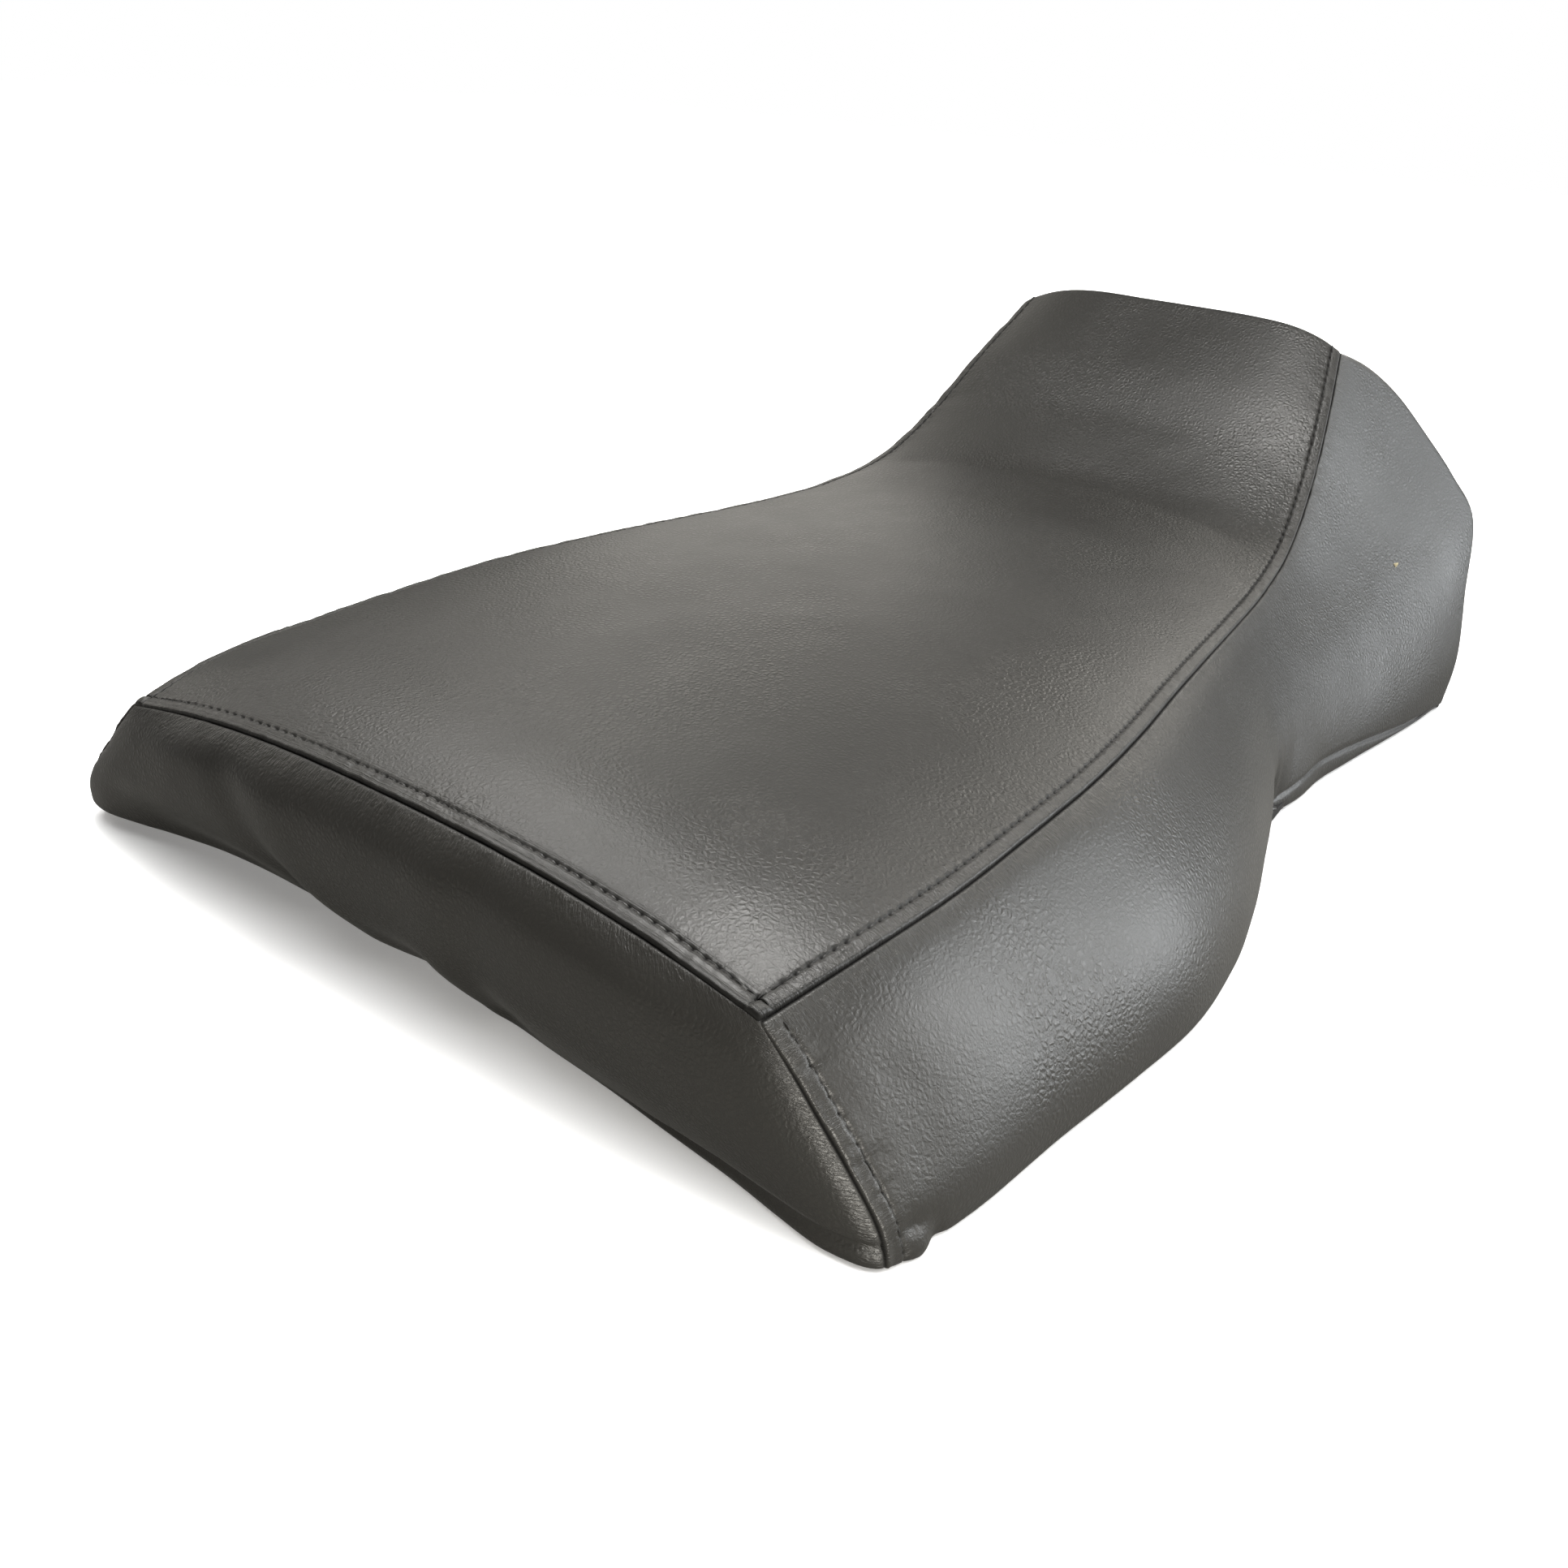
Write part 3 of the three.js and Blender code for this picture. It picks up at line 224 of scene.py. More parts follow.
def bare_top(along, across):
    here = station(along)
    rise = here.crown * (1 - np.abs(across) ** here.power)
    return point(here.seam_x * across, here.seam_y, here.seam_z + rise)


def bare_side(along, down):
    """The right side."""
    along, down = np.broadcast_arrays(np.asarray(along, float), np.asarray(down, float))
    here = station(along)
    share = np.einsum("...a,abk,...b->...k", profile_weights(along), PROFILES,
                      drop_weights(down))
    y = here.seam_y + (here.base_y - here.seam_y) * down
    tail_bow = np.sin(np.pi * np.clip(down, 0, 1) ** 0.9) * np.clip(1 - along / 0.9, 0, 1) ** 2
    y = y - 0.6 * tail_bow
    y = y + sweep_line(down)[..., 0] * (np.clip(along - 9, 0, 4) / 4) ** 1.6
    return point(here.seam_x + (here.base_x - here.seam_x) * share[..., 0], y,
                 here.seam_z * (1 - share[..., 1]))


def bare_tail(across, down):
    across, down = np.broadcast_arrays(np.asarray(across, float), np.asarray(down, float))
    seam = bare_top(np.zeros_like(across), across)
    corner = bare_side(np.zeros_like(down), down)
    corner_top, corner_foot = bare_side(0.0, 0.0), bare_side(0.0, 1.0)
    outward = (corner[..., 0] - corner_top[0]) / (corner_foot[0] - corner_top[0])
    x = across * (corner_top[0] + (corner_foot[0] - corner_top[0]) * outward)
    z = seam[..., 2] * (corner[..., 2] / corner_top[2])
    foot_y = tail_base(np.abs(across) * corner_foot[0])[..., 0]
    corner_bow = corner[..., 1] - (corner_top[1] + (corner_foot[1] - corner_top[1]) * down)
    outer = np.abs(across) ** 3
    y = (seam[..., 1]
         + (foot_y - seam[..., 1]) * (down * down * (1 - outer) + down * outer)
         + corner_bow * outer)
    y = y - TAIL_SWELL * np.sin(np.pi * np.clip(down, 0, 1) ** 0.8) * (1 - outer)
    return point(x, y, z)


# ---------------------------------------------------------------- scene helpers
def add_object(name, data):
    obj = bpy.data.objects.new(name, data)
    bpy.context.scene.collection.objects.link(obj)
    return obj


def read_coords(mesh, field="co"):
    values = np.zeros(len(mesh.vertices) * 3)
    mesh.vertices.foreach_get(field, values)
    return values.reshape(-1, 3)


def write_coords(mesh, coords):
    mesh.vertices.foreach_set("co", coords.ravel())
    mesh.update()


def shade_smooth(mesh):
    mesh.polygons.foreach_set("use_smooth", np.ones(len(mesh.polygons), bool))


def bake(obj):
    """Applies the modifiers."""
    graph = bpy.context.evaluated_depsgraph_get()
    mesh = bpy.data.meshes.new_from_object(obj.evaluated_get(graph),
                                           preserve_all_data_layers=True, depsgraph=graph)
    obj.modifiers.clear()
    old = obj.data
    obj.data = mesh
    mesh.name = obj.name
    bpy.data.meshes.remove(old)


def paint(obj, slot):
    obj.data.materials.clear()
    obj.data.materials.append(MATERIALS[slot])


def declare(obj, nodes, body="seat"):
    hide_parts(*nodes)
    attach(obj, body)


def drawn_up(points):
    """Lifts the foot of the tail over its left part, ending in a step right of centre; pan,
    foam and cover rise together."""
    x, y, z = points[..., 0], points[..., 1], points[..., 2]
    forward = y - tail_base(np.minimum(np.abs(x), 200))[..., 0]
    out = np.array(points, float)
    out[..., 2] += (np.clip(lift_line(x)[..., 0], 0, None)
                    * ease(forward, 44, 20) * ease(z, 46, 3))
    return out


def to_scene(points):
    """Working millimetres to scene metres, with the tail foot drawn up."""
    return (drawn_up(points) - np.array([0, MID_Y, 0])) / 1000


def from_scene(coords):
    return coords * 1000 + np.array([0, MID_Y, 0])


# ---------------------------------------------------------------- drape of the vinyl
ALONG_CELLS, ACROSS_CELLS, DOWN_CELLS = 105, 41, 15     # points of the draped grids
SEAM_HOLD, BASE_HOLD = 0.92, 1.0                        # pinning at seams and at hard edges
DRAPE_FRAMES = 20
DRAPE_CAP = 3.2                                         # largest stand-off
DRAPE_SHARE = 0.72                                      # share of the fine drape that is used
CLOTH = dict(quality=6, mass=0.25, tension_stiffness=35, compression_stiffness=35,
             shear_stiffness=12, bending_stiffness=1.2, air_damping=4,
             vertex_group_mass="pin", use_pressure=True, uniform_pressure_force=4.0,
             vertex_group_shrink="slack", shrink_min=0.0, shrink_max=-0.035)


def read_grid(grid, row, column):
    """Bicubic (Catmull-Rom) reading of grid[n, m, 3] at fractional indices."""
    def weights(at, count):
        at = np.clip(at, 0, count - 1)
        k = np.clip(np.floor(at).astype(int), 0, count - 2)
        f = at - k
        return ([np.clip(k + step, 0, count - 1) for step in (-1, 0, 1, 2)],
                [(-f + 2 * f * f - f ** 3) / 2, (2 - 5 * f * f + 3 * f ** 3) / 2,
                 (f + 4 * f * f - 3 * f ** 3) / 2, (f ** 3 - f * f) / 2])
    rows, row_weights = weights(row, grid.shape[0])
    columns, column_weights = weights(column, grid.shape[1])
    total = 0
    for i, j in np.ndindex(4, 4):
        total = total + ((row_weights[i] * column_weights[j])[..., None]
                         * grid[rows[i], columns[j]])
    return total


def weld(grids):
    """Joins the panel grids into one sheet: points in metres, faces, and point ids per grid."""
    known, points, faces, ids = {}, [], [], []
    for grid, flipped in zip(grids, (False, True, False, True)):
        index = np.zeros(grid.shape[:2], int)
        for i, j in np.ndindex(index.shape):
            key = tuple(np.round(grid[i, j], 2))
            if key not in known:
                known[key] = len(points)
                points.append(grid[i, j] / 1000)
            index[i, j] = known[key]
        ids.append(index)
        for i, j in np.ndindex(index.shape[0] - 1, index.shape[1] - 1):
            face = [index[i, j], index[i, j + 1], index[i + 1, j + 1], index[i + 1, j]]
            faces.append(face[::-1] if flipped else face)
    return np.array(points), faces, ids


def fullness(points):
    """Spare vinyl: at the waist tucks, the nose seams and low on the tail panel."""
    x, y, z = points.T
    full = np.maximum.reduce([
        hump(y, 368, 30) * ease(z, 60, 10) * (np.abs(x) > 100),
        0.7 * hump(y, 520, 30) * (np.abs(x) > 70) * (np.abs(x) < 150),
        0.8 * (y < 24) * (z < 60) * (0.35 + 0.65 * hump(x, 10, 90)),
        0.30 * np.ones(len(points))])
    return np.clip(full + 0.1 * noise(x / 23, y / 23, z / 23), 0, 1)


def simulate():
    """Drapes one welded sheet of all four panels, held along base and seams and blown lightly
    from inside. Returns a grid of displacements for the top, right, left and tail."""
    along, across = np.linspace(0, END, ALONG_CELLS), np.linspace(-1, 1, ACROSS_CELLS)
    down = np.linspace(0, 1, DOWN_CELLS)
    flank = bare_side(along[:, None], down[None, :])
    start, faces, ids = weld([bare_top(along[:, None], across[None, :]), flank,
                              flank * np.array([-1, 1, 1.0]),
                              bare_tail(across[:, None], down[None, :])])
    mesh = bpy.data.meshes.new("drape")
    mesh.from_pydata([tuple(v) for v in start], [], faces)
    obj = add_object("drape", mesh)

    top_ids, right, left, back = ids
    hold = np.zeros(len(start))
    hold[np.concatenate([right[:, 0], left[:, 0], back[:, 0], right[0], left[0]])] = SEAM_HOLD
    hold[np.concatenate([right[:, -1], left[:, -1], back[:, -1],
                         top_ids[-1], right[-1], left[-1]])] = BASE_HOLD
    pin, slack = obj.vertex_groups.new(name="pin"), obj.vertex_groups.new(name="slack")
    for i, weight in enumerate(hold):
        if weight:
            pin.add([i], float(weight), "REPLACE")
    for i, weight in enumerate(fullness(start * 1000)):
        slack.add([i], float(weight), "REPLACE")

    cloth = obj.modifiers.new("Cloth", "CLOTH")
    for name, value in CLOTH.items():
        setattr(cloth.settings, name, value)
    cloth.settings.effector_weights.gravity = 0
    cloth.collision_settings.use_collision = False
    cloth.point_cache.frame_start, cloth.point_cache.frame_end = 1, 24
    scene = bpy.context.scene
    for f in range(1, DRAPE_FRAMES + 1):
        scene.frame_set(f)
    graph = bpy.context.evaluated_depsgraph_get()
    move = (read_coords(obj.evaluated_get(graph).data) - start) * 1000
    bpy.data.objects.remove(obj)
    scene.frame_set(1)
    size = np.linalg.norm(move, axis=1, keepdims=True)
    move *= np.minimum(1, DRAPE_CAP / np.maximum(size, 1e-9))
    return [move[index] for index in ids]


def calm(grid, passes):
    """The broad part of a displacement grid, by repeated averaging."""
    for _ in range(passes):
        p = np.pad(grid, ((1, 1), (1, 1), (0, 0)), mode="edge")
        beside = p[:-2, 1:-1] + p[2:, 1:-1] + p[1:-1, :-2] + p[1:-1, 2:]
        grid = (4 * p[1:-1, 1:-1] + 2 * beside
                + p[:-2, :-2] + p[:-2, 2:] + p[2:, :-2] + p[2:, 2:]) / 16
    return grid


def inside(grid, cells=9.0):
    """Fades a displacement out at the edges of its panel, where it is sewn or pinned."""
    i, j = np.arange(grid.shape[0])[:, None], np.arange(grid.shape[1])[None, :]
    rim = np.minimum(np.minimum(i, grid.shape[0] - 1 - i), np.minimum(j, grid.shape[1] - 1 - j))
    return grid * ease(rim, 0.0, cells)[..., None]


# a little smoothing, less most of the broad movement, leaves the folds
drape = [DRAPE_SHARE * inside(calm(grid, passes=3) - 0.8 * calm(grid, passes=60))
         for grid in simulate()]


def top(along, across):
    return bare_top(along, across) + read_grid(drape[0], along / END * (ALONG_CELLS - 1),
                                               (across + 1) / 2 * (ACROSS_CELLS - 1))


def side(along, down, hand):
    return (bare_side(along, down) * np.array([hand, 1, 1.0])
            + read_grid(drape[1 if hand > 0 else 2], along / END * (ALONG_CELLS - 1),
                        down * (DOWN_CELLS - 1)))


def tail(across, down):
    return bare_tail(across, down) + read_grid(drape[3], (across + 1) / 2 * (ACROSS_CELLS - 1),
                                               down * (DOWN_CELLS - 1))


# ---------------------------------------------------------------- distances along and from seams
ALONG_FINE = np.linspace(0, END, 2601)
SEAM_ARC = lengths(bare_side(ALONG_FINE, 0.0), 0)
SEAM_LEN = SEAM_ARC[-1]
SEAM_PITCH = SEAM_LEN / round(SEAM_LEN / PITCH)
INWARD_FINE = np.linspace(0, 1, 401)[::-1]


def along_at(run):
    """The along parameter at a distance run up the side seam."""
    return np.interp(run, SEAM_ARC, ALONG_FINE)


def top_arcs(along):
    """Surface distance from the right seam to each point of INWARD_FINE, per row."""
    return lengths(bare_top(np.atleast_1d(along)[:, None], INWARD_FINE[None, :]), 1)


def half_width(along):
    return top_arcs(along)[:, -1]


def across_at(along, dist):
    """The across parameter on the right half of the top, at distances from the seam."""
    arcs = top_arcs(along)
    dist = np.broadcast_to(dist, (len(arcs), np.shape(dist)[-1]))
    return np.stack([np.interp(d, arc, INWARD_FINE) for d, arc in zip(dist, arcs)])


# Rows of points past the dense edge rows, four to a stitch
QUARTER = SEAM_PITCH / 4
STITCHED_RUN = np.arange(math.ceil(14.4 / QUARTER), round(SEAM_LEN / QUARTER) + 1) * QUARTER
TAIL_HALF = half_width(0.0)[0]
TAIL_PITCH = TAIL_HALF / round(TAIL_HALF / PITCH)
TAIL_COUNT = int(round((TAIL_HALF - 13.4) / (TAIL_PITCH / 4)))
TAIL_STEPS = np.arange(-TAIL_COUNT, TAIL_COUNT + 1) * TAIL_PITCH / 4


# ---------------------------------------------------------------- relief shared by the panels
def seam_band(dist):
    """Raised strip of doubled vinyl between a sewn edge and its stitch row."""
    crown = 0.50 + 0.14 * np.sin(np.pi * np.clip(dist / 5.4, 0, 1)) ** 0.8
    return ((crown - 0.26) * ease(dist, 6.1, 5.2) + 0.26 * ease(dist, 24.0, 8.0)
            - 0.20 * hump(dist, STITCH_D, 0.36))


def puff(dist, high, reach, near=9.0):
    """Foam standing up behind a sewn edge."""
    return high * (1 - fade(dist, near, start=3)) * fade(dist, reach)


def curl(dist):
    """Sewn edge rolling down into the seam."""
    return -3.2 * fade(dist, 0.16, SEAM_GAP) - 0.75 * fade(dist, 0.55, SEAM_GAP)


def dip(dist):
    """The other panel dipping under the sewn edge."""
    return (-2.6 * fade(dist, 0.24, SEAM_GAP) - 0.45 * fade(dist, 1.0, SEAM_GAP)
            - 0.25 * fade(dist, 6.0))


def row_detail(run, dist, pitch, seed):
    """Height and needle-hole mask beside a stitch row, with its pulls and small puckers."""
    needle = hump(np.abs((run / pitch + 0.5) % 1 - 0.5) * pitch, 0, 0.62)
    hole = needle * hump(dist, STITCH_D, 0.62)
    vary = noise(run / pitch + seed, 3.3 + seed, 0.5)
    slow = noise(run / 9.0 + seed, dist / 14.0, 7.7)
    quick = noise(run / 3.1 + seed, dist / 9.0 + 40, 2.7)
    band_crease = np.abs(noise(run / 1.9 + seed + 7, dist / 6.5 + 11, 5.7))
    outer_crease = np.abs(noise(run / 2.7 + seed + 19, dist / 9.0 + 5, 8.1))
    height = -0.80 * hole * (1 + 0.35 * vary)
    # vinyl puffed between stitches, on both sides of the row
    height = height + 0.17 * (1 - needle) * hump(dist, 4.2, 1.7) * (1 + vary)
    height = height + 0.15 * (1 - needle) * hump(dist, 8.0, 1.5)
    # soft unevenness, then fine creases across the band and beyond it
    height = height + 0.26 * slow * fade(dist, 10.0) + 0.24 * quick * hump(dist, 3.2, 3.4)
    height = height - (0.24 * ease(band_crease, 0.20, 0.0) * hump(dist, 3.0, 2.8)
                       * (0.65 + 0.5 * slow))
    height = height - (0.20 * ease(outer_crease, 0.20, 0.0) * hump(dist, 9.0, 4.0)
                       * (0.6 + 0.6 * slow))
    return height, hole


def edge_pucker(run, dist, seed, high=0.22):
    return high * fade(dist, 6.5) * (noise(run / 5.2 + seed, dist / 11, 3.1)
                                     + 0.6 * noise(run / 2.6 + seed, dist / 7, 9.4))


def broad(points):
    """Slow, shallow unevenness of hand-fitted vinyl over foam."""
    x, y, z = np.moveaxis(points, -1, 0)
    return 0.34 * noise(x / 62, y / 62, z / 62 + 5) + 0.13 * noise(x / 24, y / 24, z / 24 + 9)


def flap_relief(up, run, layer):
    """Small gathers on the turned-under flap, squeezed along its staple line."""
    return (0.35 * ease(up, 2, -8) * noise(run, up / 30, layer)
            - 0.9 * hump(up, -STAPLE_IN, 2.6))


def grid_normals(points, probe, outward):
    """Unit normals of a grid, turned so that the one at probe faces outward."""
    normals = unit(np.cross(np.gradient(points, axis=0), np.gradient(points, axis=1)))
    return -normals if normals[probe] @ np.array(outward) < 0 else normals


# ---------------------------------------------------------------- nose face
# The face is unrolled flat: x across, and the arc length down the front from the seam.
NOSE_DOWN = np.linspace(0, 1, 401)
NOSE_ACROSS = np.linspace(-1, 1, 401)
nose_side = bare_side(END, NOSE_DOWN)
nose_fall = lengths(nose_side[:, 1:], 0)
nose_top = bare_top(np.full(401, END), NOSE_ACROSS)
flat_side = np.stack([nose_side[:, 0], nose_fall], 1)
nose_outline = np.concatenate([
    (flat_side * np.array([-1, 1]))[::-1][:-1],
    np.stack([nose_top[:, 0], nose_side[0, 2] - nose_top[:, 2]], 1),
    flat_side[1:]])
# flat face back to y and z, continued 40 straight up above the seam
face_fall = np.r_[-40, nose_fall]
face_y = np.r_[nose_side[0, 1], nose_side[:, 1]]
face_z = np.r_[nose_side[0, 2] + 40, nose_side[:, 2]]


def outline_inward():
    """Inward normals of the nose outline, eased round its corners."""
    heading = unit(np.gradient(nose_outline, axis=0))
    for _ in range(160):
        heading[1:-1] = (heading[:-2] + 2 * heading[1:-1] + heading[2:]) / 4
    heading = unit(heading)
    return np.stack([-heading[:, 1], heading[:, 0]], 1)


nose_inward = outline_inward()


def nose(which, at, width):
    """Point on the turned-over nose band, width in from the edge; at is the down parameter
    on the left and right, the across parameter on the top."""
    at, width = np.broadcast_arrays(at, width)
    knots, part = ((NOSE_ACROSS, slice(400, 801)) if which == "top"
                   else (NOSE_DOWN, slice(800, None)))
    edge, inward = (np.stack([np.interp(at, knots, line[part, k]) for k in (0, 1)], -1)
                    for line in (nose_outline, nose_inward))
    flat = edge + inward * width[..., None]
    return point(flat[..., 0] * (-1 if which == "left" else 1),
                 np.interp(flat[..., 1], face_fall, face_y),
                 np.maximum(np.interp(flat[..., 1], face_fall, face_z), 0.0))


def round_fold(points, axis, fold, half):
    """Rounds the fold at index fold by a running mean over arc length near it."""
    points = np.moveaxis(points, axis, 0)
    out = points.copy()
    arc = lengths(points, 0)
    arc = arc - arc[fold]
    offsets = np.linspace(-half, half, 13)
    kernel = 1 - np.abs(offsets) / half / 1.08
    kernel = kernel / kernel.sum()
    count = points.shape[0]
    lines, arcs = points.reshape(count, -1, 3), arc.reshape(count, -1)
    rounded = out.reshape(count, -1, 3)
    for c in range(lines.shape[1]):
        near = np.nonzero(np.abs(arcs[:, c]) < 2.4 * half)[0]
        here = arcs[near, c]
        reach = ease(np.abs(here), 2.4 * half, 1.0 * half)
        samples = here[:, None] + offsets[None, :] * reach[:, None]
        for k in range(3):
            rounded[near, c, k] = np.interp(samples, arcs[:, c], lines[:, c, k]) @ kernel
    return np.moveaxis(out, 0, axis)


# ---------------------------------------------------------------- panel meshes
class Sheet:
    """Collects grids of points and their faces. Its attributes drive the vinyl: ell is the
    distance along the nearest seam, dd the distance from it, hole the needle holes and edge
    the sewn edge."""
    # hole and edge also carry painted shade into the vinyl's colour
    def __init__(self):
        self.points, self.faces, self.count = [], [], 0
        self.marks = {"ell": [], "dd": [], "hole": [], "edge": []}

    def add(self, grid, **marks):
        shape = grid.shape[:2]
        index = np.arange(shape[0] * shape[1]).reshape(shape) + self.count
        self.points.append(grid.reshape(-1, 3))
        for name, values in self.marks.items():
            values.append(np.broadcast_to(marks.get(name, 0.0), shape).reshape(-1))
        self.count += index.size
        return index

    def quads(self, index, flip=False, mask=None):
        a, b, c, d = index[:-1, :-1], index[:-1, 1:], index[1:, 1:], index[1:, :-1]
        faces = np.stack([a, b, c, d] if flip else [a, d, c, b], -1).reshape(-1, 4)
        if mask is not None:
            faces = faces[mask.reshape(-1)]
        self.faces += faces.tolist()

    def join(self, first, first_at, second, second_at):
        """Triangles between two rows of different density, each ordered by its at."""
        i = j = 0
        while i < len(first) - 1 or j < len(second) - 1:
            if j == len(second) - 1 or (i < len(first) - 1
                                        and first_at[i + 1] <= second_at[j + 1]):
                face = [second[j], first[i + 1], first[i]]
                i += 1
            else:
                face = [second[j], second[j + 1], first[i]]
                j += 1
            self.faces.append([int(v) for v in face])

    def build(self, name, outward):
        points = to_scene(np.concatenate(self.points))
        a, b, c = (points[k] for k in np.array([face[:3] for face in self.faces]).T)
        facing = np.cross(b - a, c - a).sum(0) @ np.array(outward)
        faces = [face[::-1] for face in self.faces] if facing < 0 else self.faces
        used = np.zeros(len(points), bool)
        used[np.concatenate([np.ravel(face) for face in faces])] = True
        renumber = np.cumsum(used) - 1
        mesh = bpy.data.meshes.new(name)
        mesh.from_pydata(points[used].tolist(), [],
                         [[int(renumber[i]) for i in face] for face in faces])
        for key, values in self.marks.items():
            values = np.concatenate(values)[used].astype(np.float32)
            mesh.attributes.new(key, "FLOAT", "POINT").data.foreach_set("value", values)
        shade_smooth(mesh)
        obj = add_object(name, mesh)
        solid = obj.modifiers.new("thick", "SOLIDIFY")
        solid.thickness, solid.offset = COVER_THICK / 1000, -1
        bake(obj)
        coords = read_coords(obj.data)
        coords[:, 2] = np.maximum(coords[:, 2], 0.0)
        write_coords(obj.data, coords)
        return obj


def fine_columns(along):
    """Signed seam distances by the tail, a quarter stitch apart past the edge columns."""
    middle = (TAIL_HALF - np.abs(TAIL_STEPS)) * np.where(TAIL_STEPS < 0, -1, 1)
    signed = np.r_[-EDGE, middle[np.abs(middle) > 13.2], EDGE[::-1]]
    dist = np.abs(signed)[None, :]
    stretch = ((half_width(along) - EDGE_REACH) / (TAIL_HALF - EDGE_REACH))[:, None]
    dist = np.where(dist <= EDGE_REACH, dist, EDGE_REACH + (dist - EDGE_REACH) * stretch)
    return dist * np.where(signed < 0, -1, 1)[None, :]


def coarse_columns(along):
    """Signed seam distances over the rest of the top, 25 steps from edge columns to middle."""
    steps = np.linspace(0, 1, 26)[1:]
    middle = EDGE_REACH + (half_width(along)[:, None] - EDGE_REACH) * steps[None, :]
    left = -np.concatenate([np.repeat(EDGE[None], len(along), 0), middle], 1)
    return np.concatenate([left, -left[:, ::-1][:, 1:]], 1)


def top_block(rows, columns, band=False):
    """Points, signed seam distance, across parameter and run; band adds the nose turn-over."""
    along = along_at(rows)
    signed = columns(along)
    across = across_at(along, np.abs(signed)) * np.sign(signed)
    points = top(along[:, None], across)
    run = rows[:, None] + 0 * across
    if band:
        turned = nose("top", across[-1][None, :], NOSE_ROWS[:, None])
        points = round_fold(np.concatenate([points, turned]), 0, len(rows) - 1, NOSE_ROUND)
        run = np.concatenate([run, rows[-1] + NOSE_ROWS[:, None] + 0 * signed[-1]])
        signed, across = (np.concatenate([grid, np.repeat(grid[-1:], len(NOSE_ROWS), 0)])
                          for grid in (signed, across))
    return points, signed, across, run


def top_relief(points, signed, run):
    """Height and hole mask of the top; run is also the distance from the tail seam."""
    dist = np.abs(signed)
    seed = np.where(signed > 0, 11.0, 57.0)
    share = run / SEAM_LEN
    climb = ease(share, 0.66, 0.84)
    sewn = ease(run, SEAM_LEN + 1, SEAM_LEN - 4)
    over_nose = ease(run, SEAM_LEN - 5, SEAM_LEN + 4)
    near_tail = ease(run, 26, 14) * ease(dist, 0, 6)
    side_row, side_hole = row_detail(run, dist, SEAM_PITCH, seed)
    tail_row, tail_hole = row_detail(points[..., 0] * TAIL_HALF / TAIL_X, run, TAIL_PITCH, 91.0)
    height = np.maximum(seam_band(dist) * (1 - 0.5 * over_nose) * (1 - 0.45 * climb),
                        seam_band(run))
    height = height + curl(dist) * (1 - 0.5 * climb) + curl(run)
    height = height + puff(run, 3.4, 95.0, 17.0) * ease(dist, 2, 44)
    height = height + puff(dist, 1.8, 60.0, 12.0) * ease(run, 2, 36) * ease(share, 0.8, 0.6)
    # doubled folds where the two rows cross: a raised square knob with a nick round it
    off_x, off_y = np.abs(dist - 3.1), np.abs(run - 3.1)
    knob = np.exp(-(off_x / 2.35) ** 5) * np.exp(-(off_y / 2.35) ** 5)
    nick = hump(np.maximum(off_x, off_y), 2.9, 0.45) * ease(dist, 6.4, 5.6) * ease(run, 6.4, 5.6)
    height = height + 0.75 * knob - 0.40 * nick
    height = height + 0.30 * np.exp(-(off_x / 2.3) ** 4) * hump(run, 9.4, 1.6)
    height = height + side_row * sewn + tail_row * near_tail
    height = height + broad(points) * ease(dist, 2, 20) * (0.4 + 0.6 * ease(run, 4, 24))
    # pulls across the seam where the nose turns up, and a soft crease where it begins
    height = height + (0.30 * hump(run, 0.86 * SEAM_LEN, 34) * fade(dist, 16)
                       * noise(run / 7.5 + seed, dist / 40, 1.0))
    height = height - (0.55 * hump(run - 6 * (dist / 100), 0.755 * SEAM_LEN, 7)
                       * ease(dist, 8, 40))
    return height, np.maximum(side_hole * sewn, tail_hole * near_tail)


def top_panel():
    sheet = Sheet()
    index, ends = [], []
    for points, signed, across, run in (top_block(EDGE, fine_columns),
                                        top_block(STITCHED_RUN, coarse_columns, band=True)):
        dist = np.abs(signed)
        normals = grid_normals(points, (0, points.shape[1] // 2), (0, 0, 1))
        height, hole = top_relief(points, signed, run)
        index.append(sheet.add(
            points + normals * height[..., None], ell=run, dd=np.minimum(dist, run), hole=hole,
            edge=np.maximum(fade(dist, 0.32, SEAM_GAP), fade(run, 0.40, SEAM_GAP))))
        ends.append(across)
    sheet.quads(index[0])
    sheet.quads(index[1])
    sheet.join(index[0][-1], ends[0][-1], index[1][0], ends[1][0])
    return sheet


def panel_columns(surface, samples, middle_count, foot):
    """Column distances below the seam, the down parameter at each, and the panel's height;
    surface gives the rows of points at a row of down parameters."""
    fine = np.linspace(0, 1, samples)
    arcs = lengths(surface(fine[None, :]), 1)
    tall = arcs[:, -1:]
    steps = (np.arange(1, middle_count + 1) / middle_count)[None, :]
    middle = UPPER[-1] + (tall - 13.0 - UPPER[-1]) * steps
    columns = np.concatenate([np.repeat(UPPER[None], len(arcs), 0), middle,
                              tall - foot[None, :]], 1)
    down = np.stack([np.interp(row, arc, fine) for row, arc in zip(columns, arcs)])
    return columns, down, tall


def level_inward(edge):
    """Level unit normals to the left of an edge's run."""
    heading = np.gradient(edge, axis=0)
    heading[:, 2] = 0
    heading = unit(heading)
    return np.stack([-heading[:, 1], heading[:, 0], 0 * heading[:, 0]], 1)


# Gathers at the waist: (place in the fan, width, depth)
WAIST_FOLDS = ((-10.5, 4.4, 0.6), (-2.6, 2.6, 0.9), (5.2, 3.6, 0.45), (15.0, 5.2, 0.35))
